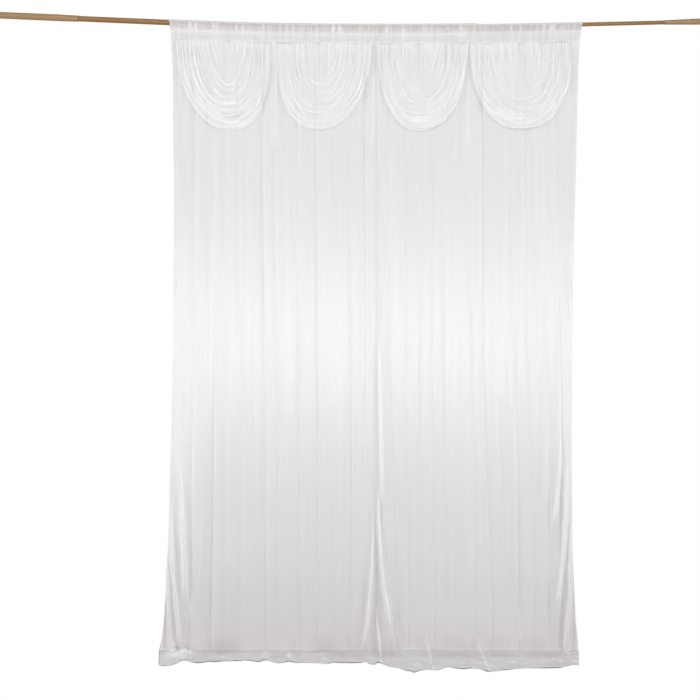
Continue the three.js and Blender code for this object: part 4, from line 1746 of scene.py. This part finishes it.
SWAG_3_PLEATS = table(
    SwagPleat,
    (0.14, 1.5, 1.0, 0.1, 0.8), (0.21, 2.0, 1.0, 0.1, 1.0), (0.29, 2.0, 1.0, 0.1, 0.7),
    (0.37, 2.5, 1.0, 0.3, 1.0), (0.46, 3.5, 1.0, 0.9, 0.4), (0.53, 2.5, 0.7, 0.3, 1.0),
    (0.60, 3.0, 1.0, 0.6, 1.0), (0.66, 2.5, 1.0, 0.3, 0.7), (0.72, 3.5, 0.8, 0.5, 1.0),
    (0.78, 3.0, 1.0, 1.0, 0.6), (0.835, 2.5, 1.0, 0.8, 1.0), (0.89, 4.0, 1.0, 0.2, 0.9),
    (0.935, 2.5, 0.8, 0.3, 1.0), (0.975, 3.0, 0.8, 1.0, 1.0),
)
SWAG_4_PLEATS = table(
    SwagPleat,
    (0.15, 2.0, 1.0, 0.2, 0.7), (0.23, 2.5, 1.0, 0.2, 1.0), (0.31, 2.0, 0.8, 0.1, 1.0),
    (0.40, 2.5, 1.0, 0.3, 1.0), (0.51, 3.0, 0.8, 1.0, 0.9), (0.58, 2.5, 1.0, 0.3, 1.0),
    (0.64, 3.0, 1.0, 1.0, 0.7), (0.70, 2.5, 1.0, 0.6, 1.0), (0.76, 2.0, 0.8, 0.3, 1.0),
    (0.82, 3.5, 1.0, 0.4, 0.8), (0.88, 4.0, 1.0, 1.0, 0.9), (0.93, 2.0, 1.0, 0.3, 1.0),
    (0.97, 4.0, 1.0, 1.0, 1.0),
)


def build_swags(left: Panel, right: Panel) -> list[Swag]:
    """The four swags from left to right, two on each panel."""
    return [
        Swag(
            "swag_1", left, -783, -356, -549, 2338, 2.0, 2.6, 11, SWAG_1_PLEATS, point=1.15, centre_from=0.39
        ),
        Swag("swag_2", left, -328, 99, -145, 2342, 2.7, 2.1, 23, SWAG_2_PLEATS, centre_from=0.37),
        Swag("swag_3", right, 125, 531, 306, 2337, 2.3, 2.3, 37, SWAG_3_PLEATS, centre_from=0.46),
        Swag("swag_4", right, 536, 999, 768, 2343, 2.2, 2.5, 41, SWAG_4_PLEATS, centre_from=0.50),
    ]


def write_sizes() -> None:
    """Update the view layer."""
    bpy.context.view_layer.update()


def main() -> None:
    """Build the curtain, piece by piece, and its studio."""
    logging.basicConfig(level=logging.INFO, format="%(message)s")
    Studio().build()
    satin = CharmeuseSatin("charmeuse satin").material()
    # The swags' satin is the same satin with a lighter colour: painted brightness for the light on the swags.
    swag_satin = CharmeuseSatin("charmeuse satin, painted lighter for the swags", "#fafafa", "#f5f5f5").material()
    thread = SpunThread().material()
    paints = {
        "rod_pale": BronzePaint("pale bronze lacquer", "#b08f69", "#9c7b55").material(),
        "rod_dark": BronzePaint("tan bronze lacquer", "#a57c4c", "#86612f").material(),
    }
    for piece in Rod().pieces():
        piece.dress(piece.build(), paints[piece.slot])
        LOG.info("rod piece %s", piece.name)
    left_folds = (LEFT_CREASES, LEFT_CONES, LEFT_CRESTS, LEFT_RIDGES, LEFT_ZONES)
    right_folds = (RIGHT_CREASES, RIGHT_CONES, RIGHT_CRESTS, RIGHT_RIDGES, RIGHT_ZONES)
    left = Panel(Side.LEFT, *left_folds, seed=101, edge_cover=0.95, edge_reach=210.0, edge_shadow=0.75)
    right = Panel(Side.RIGHT, *right_folds, seed=211, edge_cover=0.6, edge_reach=75.0, edge_shadow=0.35)
    for panel in (left, right):
        sheet = panel.build()
        line = StitchLine(f"stitches_{panel.name}", panel.seam_path())
        stitches = line.build(thread)
        line.dress(stitches)
        panel.dress(sheet, satin, [stitches])
        LOG.info("panel %s with %d points", panel.name, len(sheet.data.vertices))
    for swag in build_swags(left, right):
        sheet = swag.build()
        swag.dress(sheet, swag_satin)
        LOG.info("swag %s with %d points", swag.name, len(sheet.data.vertices))
    write_sizes()


if __name__ == "__main__":
    main()
